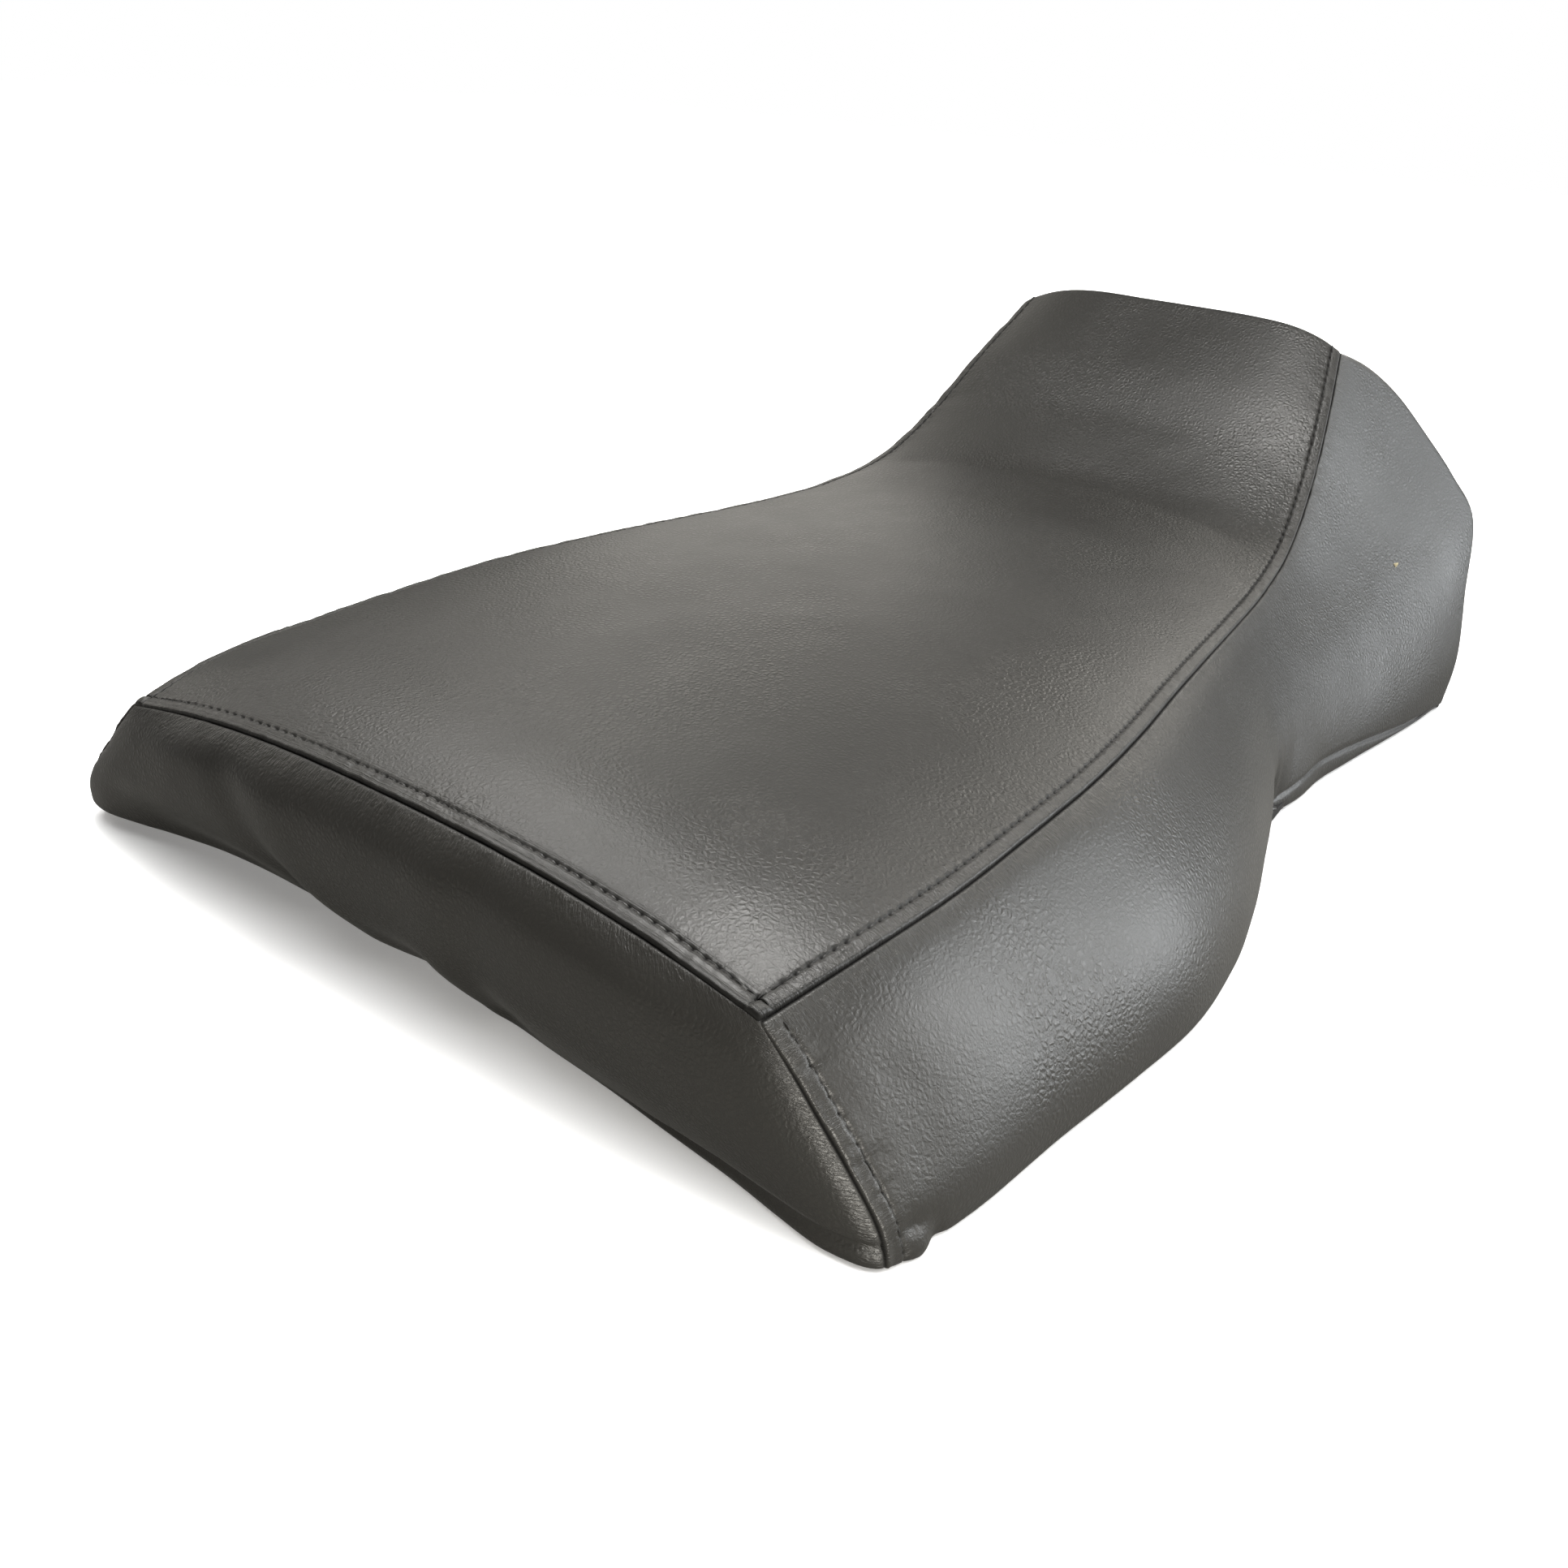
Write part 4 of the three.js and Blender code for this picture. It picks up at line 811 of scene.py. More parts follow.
# Width of the lip along the foot of the nose wing: (along, width)
LIP = np.array([[7.9, 7.5], [8.2, 9.5], [9.0, 11.8], [9.75, 10.5],
                [10.5, 8.0], [11.5, 4.6], [12.3, 2.4], [13.0, 1.6]])


def side_relief(points, along, run, dist, corner, tall, hand):
    """Height and hole mask of a side; dist is from the top seam, corner from the corner seam."""
    seed = 23.0 if hand > 0 else 71.0
    share = run / SEAM_LEN
    up = tall - dist
    row, hole = row_detail(dist - 3.0, corner, PITCH, seed + 5)
    below = ease(dist, 3.0, 6.0)
    stitched = ease(corner, 30, 14) * below
    height = dip(dist) * (1 - 0.45 * ease(share, 0.66, 0.84))
    height = height + seam_band(corner) * ease(dist, 0.0, 1.5) + curl(corner) + row * stitched
    height = height + puff(dist, 1.6, 40.0) * ease(corner, 0, 24) * ease(share, 0.8, 0.55)
    height = height + puff(corner, 1.2, 45.0) * ease(dist, 0, 24) * ease(up, 0, 20)
    # gathers and creases crossing the corner row
    gather = noise(dist / 3.4 + seed, corner / 13.0 + 0.5, 6.6)
    crease = np.abs(noise(dist / 3.9 + seed + 30, corner / 15.0, 2.2))
    height = height + ((0.46 * gather - 0.34 * ease(crease, 0.22, 0.0))
                       * ease(corner, 17, 3) * ease(corner, 0.5, 2.0) * below)
    height = height + edge_pucker(run, dist, seed)
    height = height + broad(points) * ease(dist, 2, 20) * (0.4 + 0.6 * ease(corner, 4, 24))
    # pulls across the seam where the nose turns up
    height = height + (0.36 * hump(run, 0.87 * SEAM_LEN, 36) * fade(dist, 15)
                       * noise(run / 7.0 + seed, dist / 38, 2.0))
    # lip along the foot of the nose wing, with the crease above it
    width = np.interp(along, LIP[:, 0], LIP[:, 1])
    height = height + (ease(along, 7.85, 8.2) * ease(run, SEAM_LEN + 6, SEAM_LEN - 16)
                       * (-1.9 * hump(up, width + 0.3, 1.2)
                          - 1.3 * ease(up, width + 1.5, width - 1.2)
                          + 0.7 * hump(up, width * 0.45, width * 0.42)))
    # gathers where the cover is tucked in at the waist, fanning out upwards
    fan, spread = (along - 7.95) * 46, 0.55 + up / 46.0
    low = ease(up, 52, 4) * ease(up, -16, 0)
    for at, wide, deep in WAIST_FOLDS:
        reach = wide * (0.6 + 0.5 * spread)
        height = height - deep * low * hump(fan, at * spread, reach)
        height = height + 0.55 * deep * low * hump(fan, (at + 1.6 * wide) * spread, reach)
    # the tuck itself, the hollow round it and the swell on its nose side
    height = height - 4.6 * hump(along, 7.86, 0.24) * ease(up, 38, 4)
    height = height - 1.5 * hump(along, 7.9, 0.6) * ease(up, 60, 10)
    height = height + 1.6 * hump(along, 8.6, 0.42) * ease(up, 34, 6)
    height = height + flap_relief(up, run / 6.5 + seed, 8.0)
    # rolled tab where the corner is folded under, with the crease above it
    height = height + (hump(corner, 11.5, 5.5)
                       * (2.1 * hump(up, 2.5, 5.0) - 1.5 * hump(up, 10.5, 2.6)))
    height = height - 1.2 * hump(corner, 20.5, 3.5) * hump(up, 3, 7)
    return height, hole * stitched


def side_panel(hand):
    """Sheet of one side and the line its staples follow."""
    rows = np.r_[EDGE, STITCHED_RUN]
    count, extra = len(rows), len(NOSE_ROWS)
    along = along_at(rows)
    columns, down, tall = panel_columns(lambda at: side(along[:, None], at, hand),
                                        301, 58, SIDE_FOOT)
    body = side(along[:, None], down, hand)
    base = body.shape[1]                # columns from here on are the turned-under flap
    foot = body[:, -1]
    inward = level_inward(foot) * hand
    staple_line = (foot + inward * STAPLE_IN)[len(EDGE):]
    flap = foot[:, None] + inward[:, None] * FLAP_COLS[None, :, None]
    body = round_fold(np.concatenate([body, flap], 1), 1, base - 1, 3.6)
    # band over the nose face; the flap follows the rounding of the fold
    turned = nose("right" if hand > 0 else "left", down[-1][None, :], NOSE_ROWS[:, None])
    outer = round_fold(np.concatenate([body[:, :base], turned]), 0, count - 1, NOSE_ROUND)
    shift = outer[:count, -1] - body[:, base - 1]
    body[:, base:] += shift[:, None] * np.clip(1 - FLAP_COLS / 9, 0, 1)[None, :, None]
    body[:, :base] = outer[:count]
    # the flap columns of the band rows only serve the normals and get no faces
    spare = outer[count:, -1][:, None] + (body[-1, base:] - body[-1, base - 1])[None]
    points = np.concatenate([body, np.concatenate([outer[count:], spare], 1)])
    normals = grid_normals(points, (10, base // 2), (hand, 0, 0))

    dist = np.concatenate([columns, tall + FLAP_COLS[None, :]], 1)
    dist = np.concatenate([dist, np.repeat(dist[-1:], extra, 0)])
    tall = np.concatenate([tall, np.repeat(tall[-1:], extra, 0)])
    run = np.r_[rows, SEAM_LEN + NOSE_ROWS][:, None] + 0 * dist
    along = np.r_[along, np.full(extra, END)][:, None] + 0 * dist
    corner = lengths(points, 0) + SEAM_GAP
    height, hole = side_relief(points, along, run, dist, corner, tall, hand)
    points = points + normals * height[..., None]
    points[:count, base:, 2] = np.maximum(points[:count, base:, 2], 0.02)
    points[..., 2] = np.maximum(points[..., 2], 0.0)
    sheet = Sheet()
    index = sheet.add(points, ell=np.where(corner < dist, dist, run),
                      dd=np.minimum(dist, corner), hole=hole,
                      edge=np.maximum(fade(dist, 1.15, SEAM_GAP), fade(corner, 0.45, SEAM_GAP)))
    mask = np.ones((points.shape[0] - 1, points.shape[1] - 1), bool)
    mask[count - 1:, base - 1:] = False
    sheet.quads(index, flip=(hand > 0), mask=mask)
    return sheet, staple_line


def tail_relief(points, run, dist, corner, up):
    """Height of the tail; dist is from the top seam, corner from the nearer corner seam."""
    x = points[..., 0]
    height = dip(dist) + dip(corner) * 0.9
    height = height + edge_pucker(run, dist, 31.0, 0.2) + edge_pucker(dist, corner, 47.0, 0.2)
    height = height + broad(points) * ease(dist, 2, 20) * ease(corner, 0, 16)
    height = height + 4.6 * ease(dist, 0, 20) * ease(up, -4, 40) * ease(corner, 0, 60)
    height = height + puff(corner, 1.6, 50.0) * ease(dist, 0, 24) * ease(up, 0, 16)
    # two soft upright dents, and the roll of vinyl beside each
    free = ease(dist, 4, 22) * ease(up, -4, 10)
    right_lean, left_lean = x - 30 - 0.15 * up, x + 44 + 0.55 * up
    height = height + (free * (-3.3 * hump(right_lean, 8, 14) + 2.3 * hump(right_lean, -13, 11))
                       * (0.35 + 0.65 * ease(up, 60, 10)))
    height = height + (free * (-3.4 * hump(left_lean, 0, 12) + 1.8 * hump(left_lean, 24, 15))
                       * (0.5 + 0.5 * ease(up, 62, 18)))
    height = height + free * 0.8 * noise(x / 34 + 4, up / 50, 6.1) * ease(up, 40, 8)
    # crease above the turned-under lip towards the right corner
    width = 3.5 + 3.5 * ease(x, 90, 165)
    height = height + ease(x, 70, 135) * (-1.5 * hump(up, width + 1.0, 1.3)
                                          + 0.6 * hump(up, width * 0.4, width * 0.45))
    return height + flap_relief(up, x / 6.5, 1.0)


def tail_panel():
    """Sheet of the tail and the line its staples follow."""
    border = TAIL_HALF - np.r_[UPPER, 8.0, 10.5]
    seam_run = np.r_[-border, TAIL_STEPS[np.abs(TAIL_STEPS) < TAIL_HALF - 12], border[::-1]]
    across = across_at(0.0, TAIL_HALF - np.abs(seam_run))[0] * np.sign(seam_run)
    columns, down, tall = panel_columns(lambda at: tail(across[:, None], at),
                                        201, 26, TAIL_FOOT)
    body = tail(across[:, None], down)
    foot = body[:, -1]
    inward = level_inward(foot)
    staple_line = (foot + inward * STAPLE_IN)[16:-16]
    flap = foot[:, None] + inward[:, None] * FLAP_COLS[None, :, None]
    points = round_fold(np.concatenate([body, flap], 1), 1, body.shape[1] - 1, 3.8)
    normals = grid_normals(points, (len(across) // 2, 12), (0, -1, 0))

    dist = np.concatenate([columns, tall + FLAP_COLS[None, :]], 1)
    corner = lengths(points, 0)
    corner = np.minimum(corner, corner[-1:] - corner) + SEAM_GAP
    run = seam_run[:, None] + 0 * dist
    height = tail_relief(points, run, dist, corner, tall - dist)
    points = points + normals * height[..., None]
    points[..., 2] = np.maximum(points[..., 2], 0.02)
    sheet = Sheet()
    index = sheet.add(
        points, ell=np.where(corner < dist, np.sign(run) * (TAIL_HALF - dist), run),
        dd=np.minimum(dist, corner),
        edge=np.maximum(fade(dist, 1.15, SEAM_GAP), fade(corner, 1.15, SEAM_GAP)))
    sheet.quads(index)
    return sheet, staple_line


cover_top = top_panel().build("cover_top", (0, 0, 1))
right_sheet, right_staples = side_panel(1)
cover_right = right_sheet.build("cover_side_right", (1, 0, 0))
left_sheet, left_staples = side_panel(-1)
cover_left = left_sheet.build("cover_side_left", (-1, 0, 0))
tail_sheet, tail_staples = tail_panel()
cover_tail = tail_sheet.build("cover_tail", (0, -1, 0))
COVERS = {"cover_top_panel": cover_top, "cover_side_panel_right": cover_right,
          "cover_side_panel_left": cover_left, "cover_tail_panel": cover_tail}
for node, cover in COVERS.items():
    declare(cover, [node])


# ---------------------------------------------------------------- stitches and staples
def tubes(name, paths, nodes, radius=0.30, sides=6):
    """One object of capped tubes; each path is its points and a vector square to its run."""
    rings, faces, first = [], [], 0
    angle = np.arange(sides) / sides * 2 * np.pi
    cosine, sine = np.cos(angle)[None, :, None], np.sin(angle)[None, :, None]
    for points, normals in paths:
        heading = unit(np.gradient(points, axis=0))
        beside = unit(np.cross(heading, normals))
        above = np.cross(beside, heading)
        ring = points[:, None] + radius * (cosine * beside[:, None] + sine * above[:, None])
        rings.append(ring.reshape(-1, 3))
        count = len(points)
        for i in range(count - 1):
            a, b = first + i * sides, first + (i + 1) * sides
            for k in range(sides):
                k2 = (k + 1) % sides
                faces.append([a + k, b + k, b + k2, a + k2])
        last = first + (count - 1) * sides
        faces.append([first + k for k in range(sides)])
        faces.append([last + k for k in reversed(range(sides))])
        first += count * sides
    mesh = bpy.data.meshes.new(name)
    mesh.from_pydata(to_scene(np.concatenate(rings)).tolist(), [], faces)
    bm = bmesh.new()
    bm.from_mesh(mesh)
    bmesh.ops.recalc_face_normals(bm, faces=bm.faces)
    bm.to_mesh(mesh)
    bm.free()
    shade_smooth(mesh)
    obj = add_object(name, mesh)
    declare(obj, nodes)
    return obj


def surface_normals(surface, along, other, outward):
    step = 1e-3
    lengthwise = (surface(np.minimum(along + step, END), other)
                  - surface(np.maximum(along - step, 0), other))
    crosswise = surface(along, np.minimum(other + step, 1)) - surface(along, other - step)
    normals = unit(np.cross(lengthwise, crosswise))
    return normals * np.sign(normals @ np.array(outward))[:, None]


def stitch_row(holes, normals, lift=STITCH_LIFT, sway=0.0):
    """An arched thread between each pair of holes, swayed sideways; ends sink into the holes."""
    count = len(holes) - 1
    lift, sway = np.broadcast_to(lift, count), np.broadcast_to(sway, count)
    part = np.linspace(0, 1, 9)
    arch = np.sin(np.pi * part) ** 0.5
    paths = []
    for i in range(count):
        normal = unit(normals[i] + normals[i + 1])
        gap = holes[i + 1] - holes[i]
        start = holes[i] + unit(np.cross(normal, gap)) * sway[i]
        rise = lift[i] - 1.15 * (1 - arch) + 0.20 * arch
        points = start + gap * (0.10 + 0.80 * part)[:, None] + normal * rise[:, None]
        paths.append((points, np.repeat(normal[None], 9, 0)))
    return paths


def stitches_top(hand):
    index = np.arange(0, round(SEAM_LEN / SEAM_PITCH) + 1)
    along = along_at(np.clip(index * SEAM_PITCH, 0.35, SEAM_LEN - 0.5))
    across = across_at(along, np.full(1, STITCH_D))[:, 0] * hand
    sway = 0.10 * noise(index[:-1] * 1.7 + 3 * hand, 2.0, 0.3)
    return stitch_row(top(along, across), surface_normals(top, along, across, (0, 0, 1)),
                      sway=sway)


def stitches_tail():
    """Needle holes keep even spacing in x, as the seam does."""
    count = round(TAIL_HALF / TAIL_PITCH)
    run = np.clip(np.arange(-count, count + 1) * TAIL_PITCH, 0.4 - TAIL_HALF, TAIL_HALF - 0.4)
    along = np.full(len(run), along_at(STITCH_D))
    across = np.clip(run * TAIL_X / TAIL_HALF / station(along).seam_x, -0.999, 0.999)
    # the threads ride up over the doubled folds at the corners
    at_corner = np.minimum(np.abs(run[:-1]), np.abs(run[1:])) > TAIL_HALF - 7
    return stitch_row(top(along, across), surface_normals(top, along, across, (0, 0, 1)),
                      lift=STITCH_LIFT + 0.5 * at_corner)


def stitches_corner(hand):
    def surface(along, down):
        return side(along, down, hand)
    fine = np.linspace(0, 1, 601)
    row_along = along_at(STITCH_D * 1.04)
    arc = lengths(surface(np.full(601, row_along), fine), 0)
    first = 3.0
    holes_at = first + np.arange(0, int((arc[-1] - first) / PITCH) + 1) * PITCH
    down = np.interp(holes_at, arc, fine)
    along = np.full(len(down), row_along)
    return stitch_row(surface(along, down),
                      surface_normals(surface, along, down, (hand, 0, 0)))


THREADS = [tubes(name, paths, [node]) for name, paths, node in (
    ("stitches_right", stitches_top(1), "topstitch_right"),
    ("stitches_left", stitches_top(-1), "topstitch_left"),
    ("stitches_tail", stitches_tail(), "topstitch_tail"),
    ("stitches_corner_right", stitches_corner(1), "corner_stitch_right"),
    ("stitches_corner_left", stitches_corner(-1), "corner_stitch_left"))]

# Staple lines with the length left bare at their start and end
STAPLE_LINES = ((right_staples, 14.0, 9.0), (left_staples, 14.0, 9.0), (tail_staples, 12.0, 12.0))
STAPLE_SPACING = 17.5
STAPLE_Z = 0.5
# Staple wire: (distance along its crown, height)
STAPLE_WIRE = [(-5.0, 2.4), (-5.0, 0.45), (-4.85, 0.12), (-4.5, 0.0), (-1.5, 0.02),
               (1.5, 0.02), (4.5, 0.0), (4.85, 0.12), (5.0, 0.45), (5.0, 2.4)]


def staple_paths():
    """Staples along the turned-under edge, a little uneven in place and turn."""
    paths = []
    for line, start, end in STAPLE_LINES:
        arc = lengths(line, 0)

        def on_line(at):
            return np.array([np.interp(at, arc, line[:, k]) for k in range(3)])
        count = int((arc[-1] - start - end) / STAPLE_SPACING)
        for i, at in enumerate(np.linspace(start, arc[-1] - end, count + 1)):
            at = at + 1.6 * noise(i * 3.7 + 0.5, 0.0, 4.4)
            centre = on_line(at)
            centre[2] = STAPLE_Z
            x, y, _ = unit((on_line(at + 2) - on_line(at - 2)) * np.array([1, 1, 0]))
            turn = 0.16 * noise(i * 5.1 + 9.5, 3.0, 1.0)
            heading = np.array([x * math.cos(turn) - y * math.sin(turn),
                                x * math.sin(turn) + y * math.cos(turn), 0])
            points = np.array([centre + heading * out + np.array([0, 0, high])
                               for out, high in STAPLE_WIRE])
            normal = np.cross(heading, [0, 0, 1.0])
            paths.append((points, np.repeat(normal[None], len(points), 0)))
    return paths


STAPLES = tubes("staple_row", staple_paths(), ["staple_%02d" % i for i in range(1, 15)],
                radius=0.40, sides=8)


# ---------------------------------------------------------------- materials
class Shader:
    """A material named finish_<name>, with short calls for its nodes."""
    def __init__(self, name):
        self.material = bpy.data.materials.new("finish_" + name)
        self.material.use_nodes = True
        self.tree = self.material.node_tree

    def node(self, kind, **settings):
        node = self.tree.nodes.new(kind)
        for name, value in settings.items():
            setattr(node, name, value)
        return node

    def put(self, socket, value):
        """Links an output to a socket, or sets the socket's value."""
        if isinstance(value, bpy.types.NodeSocket):
            self.tree.links.new(value, socket)
        else:
            socket.default_value = value

    def math(self, operation, a, b, clamp=False):
        node = self.node("ShaderNodeMath", operation=operation, use_clamp=clamp)
        self.put(node.inputs[0], a)
        self.put(node.inputs[1], b)
        return node.outputs[0]

    def plus(self, a, b, clamp=False):
        return self.math("ADD", a, b, clamp)

    def times(self, a, b):
        return self.math("MULTIPLY", a, b)

    def one_minus(self, a, clamp=False):
        return self.math("SUBTRACT", 1.0, a, clamp)

    def vector(self, operation, a, b):
        node = self.node("ShaderNodeVectorMath", operation=operation)
        self.put(node.inputs[0], a)
        self.put(node.inputs[3 if operation == "SCALE" else 1], b)
        return node.outputs[0]

    def ramp(self, value, low, high):
        node = self.node("ShaderNodeMapRange", interpolation_type="SMOOTHSTEP")
        self.put(node.inputs["From Min"], low)
        self.put(node.inputs["From Max"], high)
        self.put(node.inputs["Value"], value)
        return node.outputs["Result"]

    def noise(self, place, scale, detail=2.0, rough=0.5, distortion=0.0, output=0):
        node = self.node("ShaderNodeTexNoise")
        for name, value in (("Scale", scale), ("Detail", detail), ("Roughness", rough),
                            ("Distortion", distortion), ("Vector", place)):
            self.put(node.inputs[name], value)
        return node.outputs[output]

    def voronoi(self, place, scale, feature="DISTANCE_TO_EDGE"):
        node = self.node("ShaderNodeTexVoronoi", feature=feature)
        self.put(node.inputs["Scale"], scale)
        self.put(node.inputs["Vector"], place)
        return node.outputs

    def mix(self, factor, a, b):
        node = self.node("ShaderNodeMix", data_type="RGBA")
        self.put(node.inputs[0], factor)
        for socket, colour in ((node.inputs[6], a), (node.inputs[7], b)):
            self.put(socket, (*colour, 1) if isinstance(colour, tuple) else colour)
        return node.outputs[2]

    def bump(self, height, distance, strength, normal=None):
        node = self.node("ShaderNodeBump")
        self.put(node.inputs["Distance"], distance)
        self.put(node.inputs["Strength"], strength)
        self.put(node.inputs["Height"], height)
        if normal is not None:
            self.put(node.inputs["Normal"], normal)
        return node.outputs[0]

    def coord(self):
        return self.node("ShaderNodeTexCoord").outputs["Object"]

    def attribute(self, name):
        return self.node("ShaderNodeAttribute", attribute_name=name).outputs["Fac"]

    def finish(self, **inputs):
        """Fills Principled inputs, spaces written as underscores."""
        sockets = self.tree.nodes["Principled BSDF"].inputs
        for name, value in inputs.items():
            self.put(sockets[name.replace("_", " ")], value)
        return self.material


def vinyl():
    mat = Shader("vinyl")
    place = mat.coord()
    # leather grain: warped cells of two sizes
    wander = mat.noise(place, scale=170, output="Color")
    offset = mat.vector("SCALE", mat.vector("SUBTRACT", wander, (0.5, 0.5, 0.5)), 0.0017)
    warped = mat.vector("ADD", place, offset)
    large = mat.ramp(mat.voronoi(warped, scale=430)["Distance"], low=0.0, high=0.40)
    small = mat.ramp(mat.voronoi(warped, scale=900)["Distance"], low=0.0, high=0.36)
    depth = mat.ramp(mat.noise(place, scale=16), low=0.40, high=0.62)
    grain = mat.plus(mat.times(large, mat.plus(mat.times(depth, 0.45), 0.35)),
                     mat.times(small, 0.16))
    micro = mat.noise(place, scale=2600, detail=3.0, rough=0.6)
    # fine creases that cross the sewn edges
    seam_dist = mat.attribute("dd")
    seam_place = mat.node("ShaderNodeCombineXYZ")
    mat.put(seam_place.inputs[0], mat.times(mat.attribute("ell"), 1.15))
    mat.put(seam_place.inputs[1], mat.times(seam_dist, 0.33))
    mat.put(seam_place.inputs[2], mat.noise(place, scale=9, detail=1.0))
    crease = mat.noise(seam_place.outputs[0], scale=1.0, detail=3.0, rough=0.55, distortion=0.6)
    near = mat.one_minus(mat.ramp(seam_dist, low=3.0, high=13.0))
    seam_crease = mat.times(mat.ramp(crease, low=0.35, high=0.68), near)
    height = mat.plus(mat.times(grain, mat.one_minus(mat.times(near, 0.45))),
                      mat.times(seam_crease, 0.75))
    height = mat.plus(height, mat.times(micro, 0.10))
    normal = mat.bump(mat.noise(place, scale=46, detail=3.0), distance=0.0006, strength=0.35)
    normal = mat.bump(height, distance=0.00026, strength=0.62, normal=normal)
    # dark charcoal in patches, with painted shade darkening the grain's valleys, the needle holes
    # and seams
    patch = mat.noise(place, scale=7, detail=3.0, rough=0.55)
    colour = mat.mix(mat.ramp(patch, low=0.30, high=0.72),
                     (0.0245, 0.0231, 0.0204), (0.0320, 0.0303, 0.0268))
    # painted shade: the creases between the grain's cells are darkened as if shadowed; valley
    # also roughens them
    valley = mat.one_minus(mat.times(grain, 0.95), clamp=True)
    colour = mat.mix(mat.times(valley, 0.45), colour, (0.012, 0.012, 0.011))
    # painted shade in the needle holes and along the sewn edges; the two factors of 1.0 weigh
    # holes against sewn edges
    dark = mat.math("MAXIMUM", mat.times(mat.attribute("hole"), 1.0),
                    mat.times(mat.ramp(mat.attribute("edge"), low=0.30, high=0.72), 1.0),
                    clamp=True)
    # painted shade: near black where the hole and sewn-edge mask is high
    colour = mat.mix(mat.times(dark, 0.9), colour, (0.006, 0.006, 0.006))
    # rubbed crest of the sewn edge
    crest = mat.times(mat.ramp(seam_dist, low=0.5, high=1.2),
                      mat.one_minus(mat.ramp(seam_dist, low=1.6, high=3.4)))
    rubbed = mat.times(crest, mat.ramp(mat.noise(place, scale=60, detail=3.0),
                                       low=0.45, high=0.75))
    colour = mat.mix(mat.times(rubbed, 0.25), colour, (0.10, 0.10, 0.098))
    # specks of lint in a fifth of the cells
    lint = mat.voronoi(place, scale=42, feature="F1")
    chance = mat.node("ShaderNodeSeparateColor")
    mat.put(chance.inputs[0], lint["Color"])
    speck = mat.times(mat.math("LESS_THAN", lint["Distance"], 0.0075),
                      mat.math("GREATER_THAN", chance.outputs[0], 0.80))
    colour = mat.mix(mat.times(speck, 0.45), colour, (0.45, 0.45, 0.42))
    rough = mat.plus(mat.times(mat.noise(place, scale=24, detail=4.0, rough=0.6), 0.12), 0.265)
    rough = mat.plus(rough, mat.times(valley, 0.10))
    rough = mat.plus(rough, mat.times(dark, 0.3), clamp=True)
    shine = mat.times(mat.one_minus(mat.times(dark, 0.92), clamp=True), 0.62)
    return mat.finish(Base_Color=colour, Roughness=rough, Normal=normal, IOR=1.52,
                      Specular_IOR_Level=shine, Sheen_Weight=0.06, Sheen_Roughness=0.5)


def thread():
    mat = Shader("thread")
    place = mat.coord()
    fibre = mat.noise(place, scale=1500)
    colour = mat.mix(mat.ramp(fibre, low=0.3, high=0.7),
                     (0.006, 0.006, 0.006), (0.022, 0.022, 0.021))
    # painted highlights: small light glints on the thread
    glint = mat.ramp(mat.noise(place, scale=130), low=0.70, high=0.76)
    colour = mat.mix(mat.times(glint, 0.30), colour, (0.20, 0.20, 0.19))
    return mat.finish(Base_Color=colour, Roughness=mat.plus(mat.times(fibre, 0.3), 0.45),
                      Normal=mat.bump(fibre, distance=0.00008, strength=0.8))


def foam_block_look():
    mat = Shader("foam")
    place = mat.coord()
    cell = mat.voronoi(place, scale=900)["Distance"]
    colour = mat.mix(mat.ramp(mat.noise(place, scale=9, detail=4.0), low=0.3, high=0.75),
                     (0.62, 0.55, 0.36), (0.72, 0.66, 0.48))
    # painted shade: the foam's pores, the hollows of its cells, are darkened as if shadowed
    pore_shade = mat.one_minus(mat.ramp(cell, low=0.0, high=0.22))
    colour = mat.mix(pore_shade, colour, (0.40, 0.34, 0.20))
    height = mat.plus(mat.ramp(cell, low=0, high=0.3), mat.noise(place, scale=260, detail=3.0))
    return mat.finish(Base_Color=colour, Roughness=0.95,
                      Normal=mat.bump(height, distance=0.0006, strength=0.7))


def plastic(name, dark, grain_scale):
    """Dark moulded plastic with flow marks and streaky scuffs."""
    mat = Shader(name)
    place = mat.coord()
    grain = mat.noise(place, scale=grain_scale, rough=0.6)
    flow = mat.noise(place, scale=11, detail=4.0, rough=0.6)
    streaks = mat.noise(mat.vector("MULTIPLY", place, (1.0, 0.12, 1.0)), scale=240)
    colour = mat.mix(mat.ramp(flow, low=0.3, high=0.7), (dark, dark, dark * 1.05),
                     (dark * 1.9, dark * 1.9, dark * 2.0))
    colour = mat.mix(mat.times(mat.ramp(streaks, low=0.68, high=0.80), 0.35), colour,
                     (0.09, 0.09, 0.092))
    return mat.finish(Base_Color=colour, Roughness=mat.plus(mat.times(flow, 0.2), 0.42),
                      Normal=mat.bump(grain, distance=0.00012, strength=0.5))


def rubber():
    mat = Shader("bumper_rubber")
    place = mat.coord()
    dust = mat.ramp(mat.noise(place, scale=90, detail=4.0, rough=0.65), low=0.48, high=0.75)
    colour = mat.mix(mat.times(dust, 0.45), (0.012, 0.012, 0.012), (0.075, 0.072, 0.066))
    grain = mat.noise(place, scale=1900, detail=3.0)
    return mat.finish(Base_Color=colour, Roughness=mat.plus(mat.times(dust, 0.15), 0.72),
                      Normal=mat.bump(grain, distance=0.0001, strength=0.6))


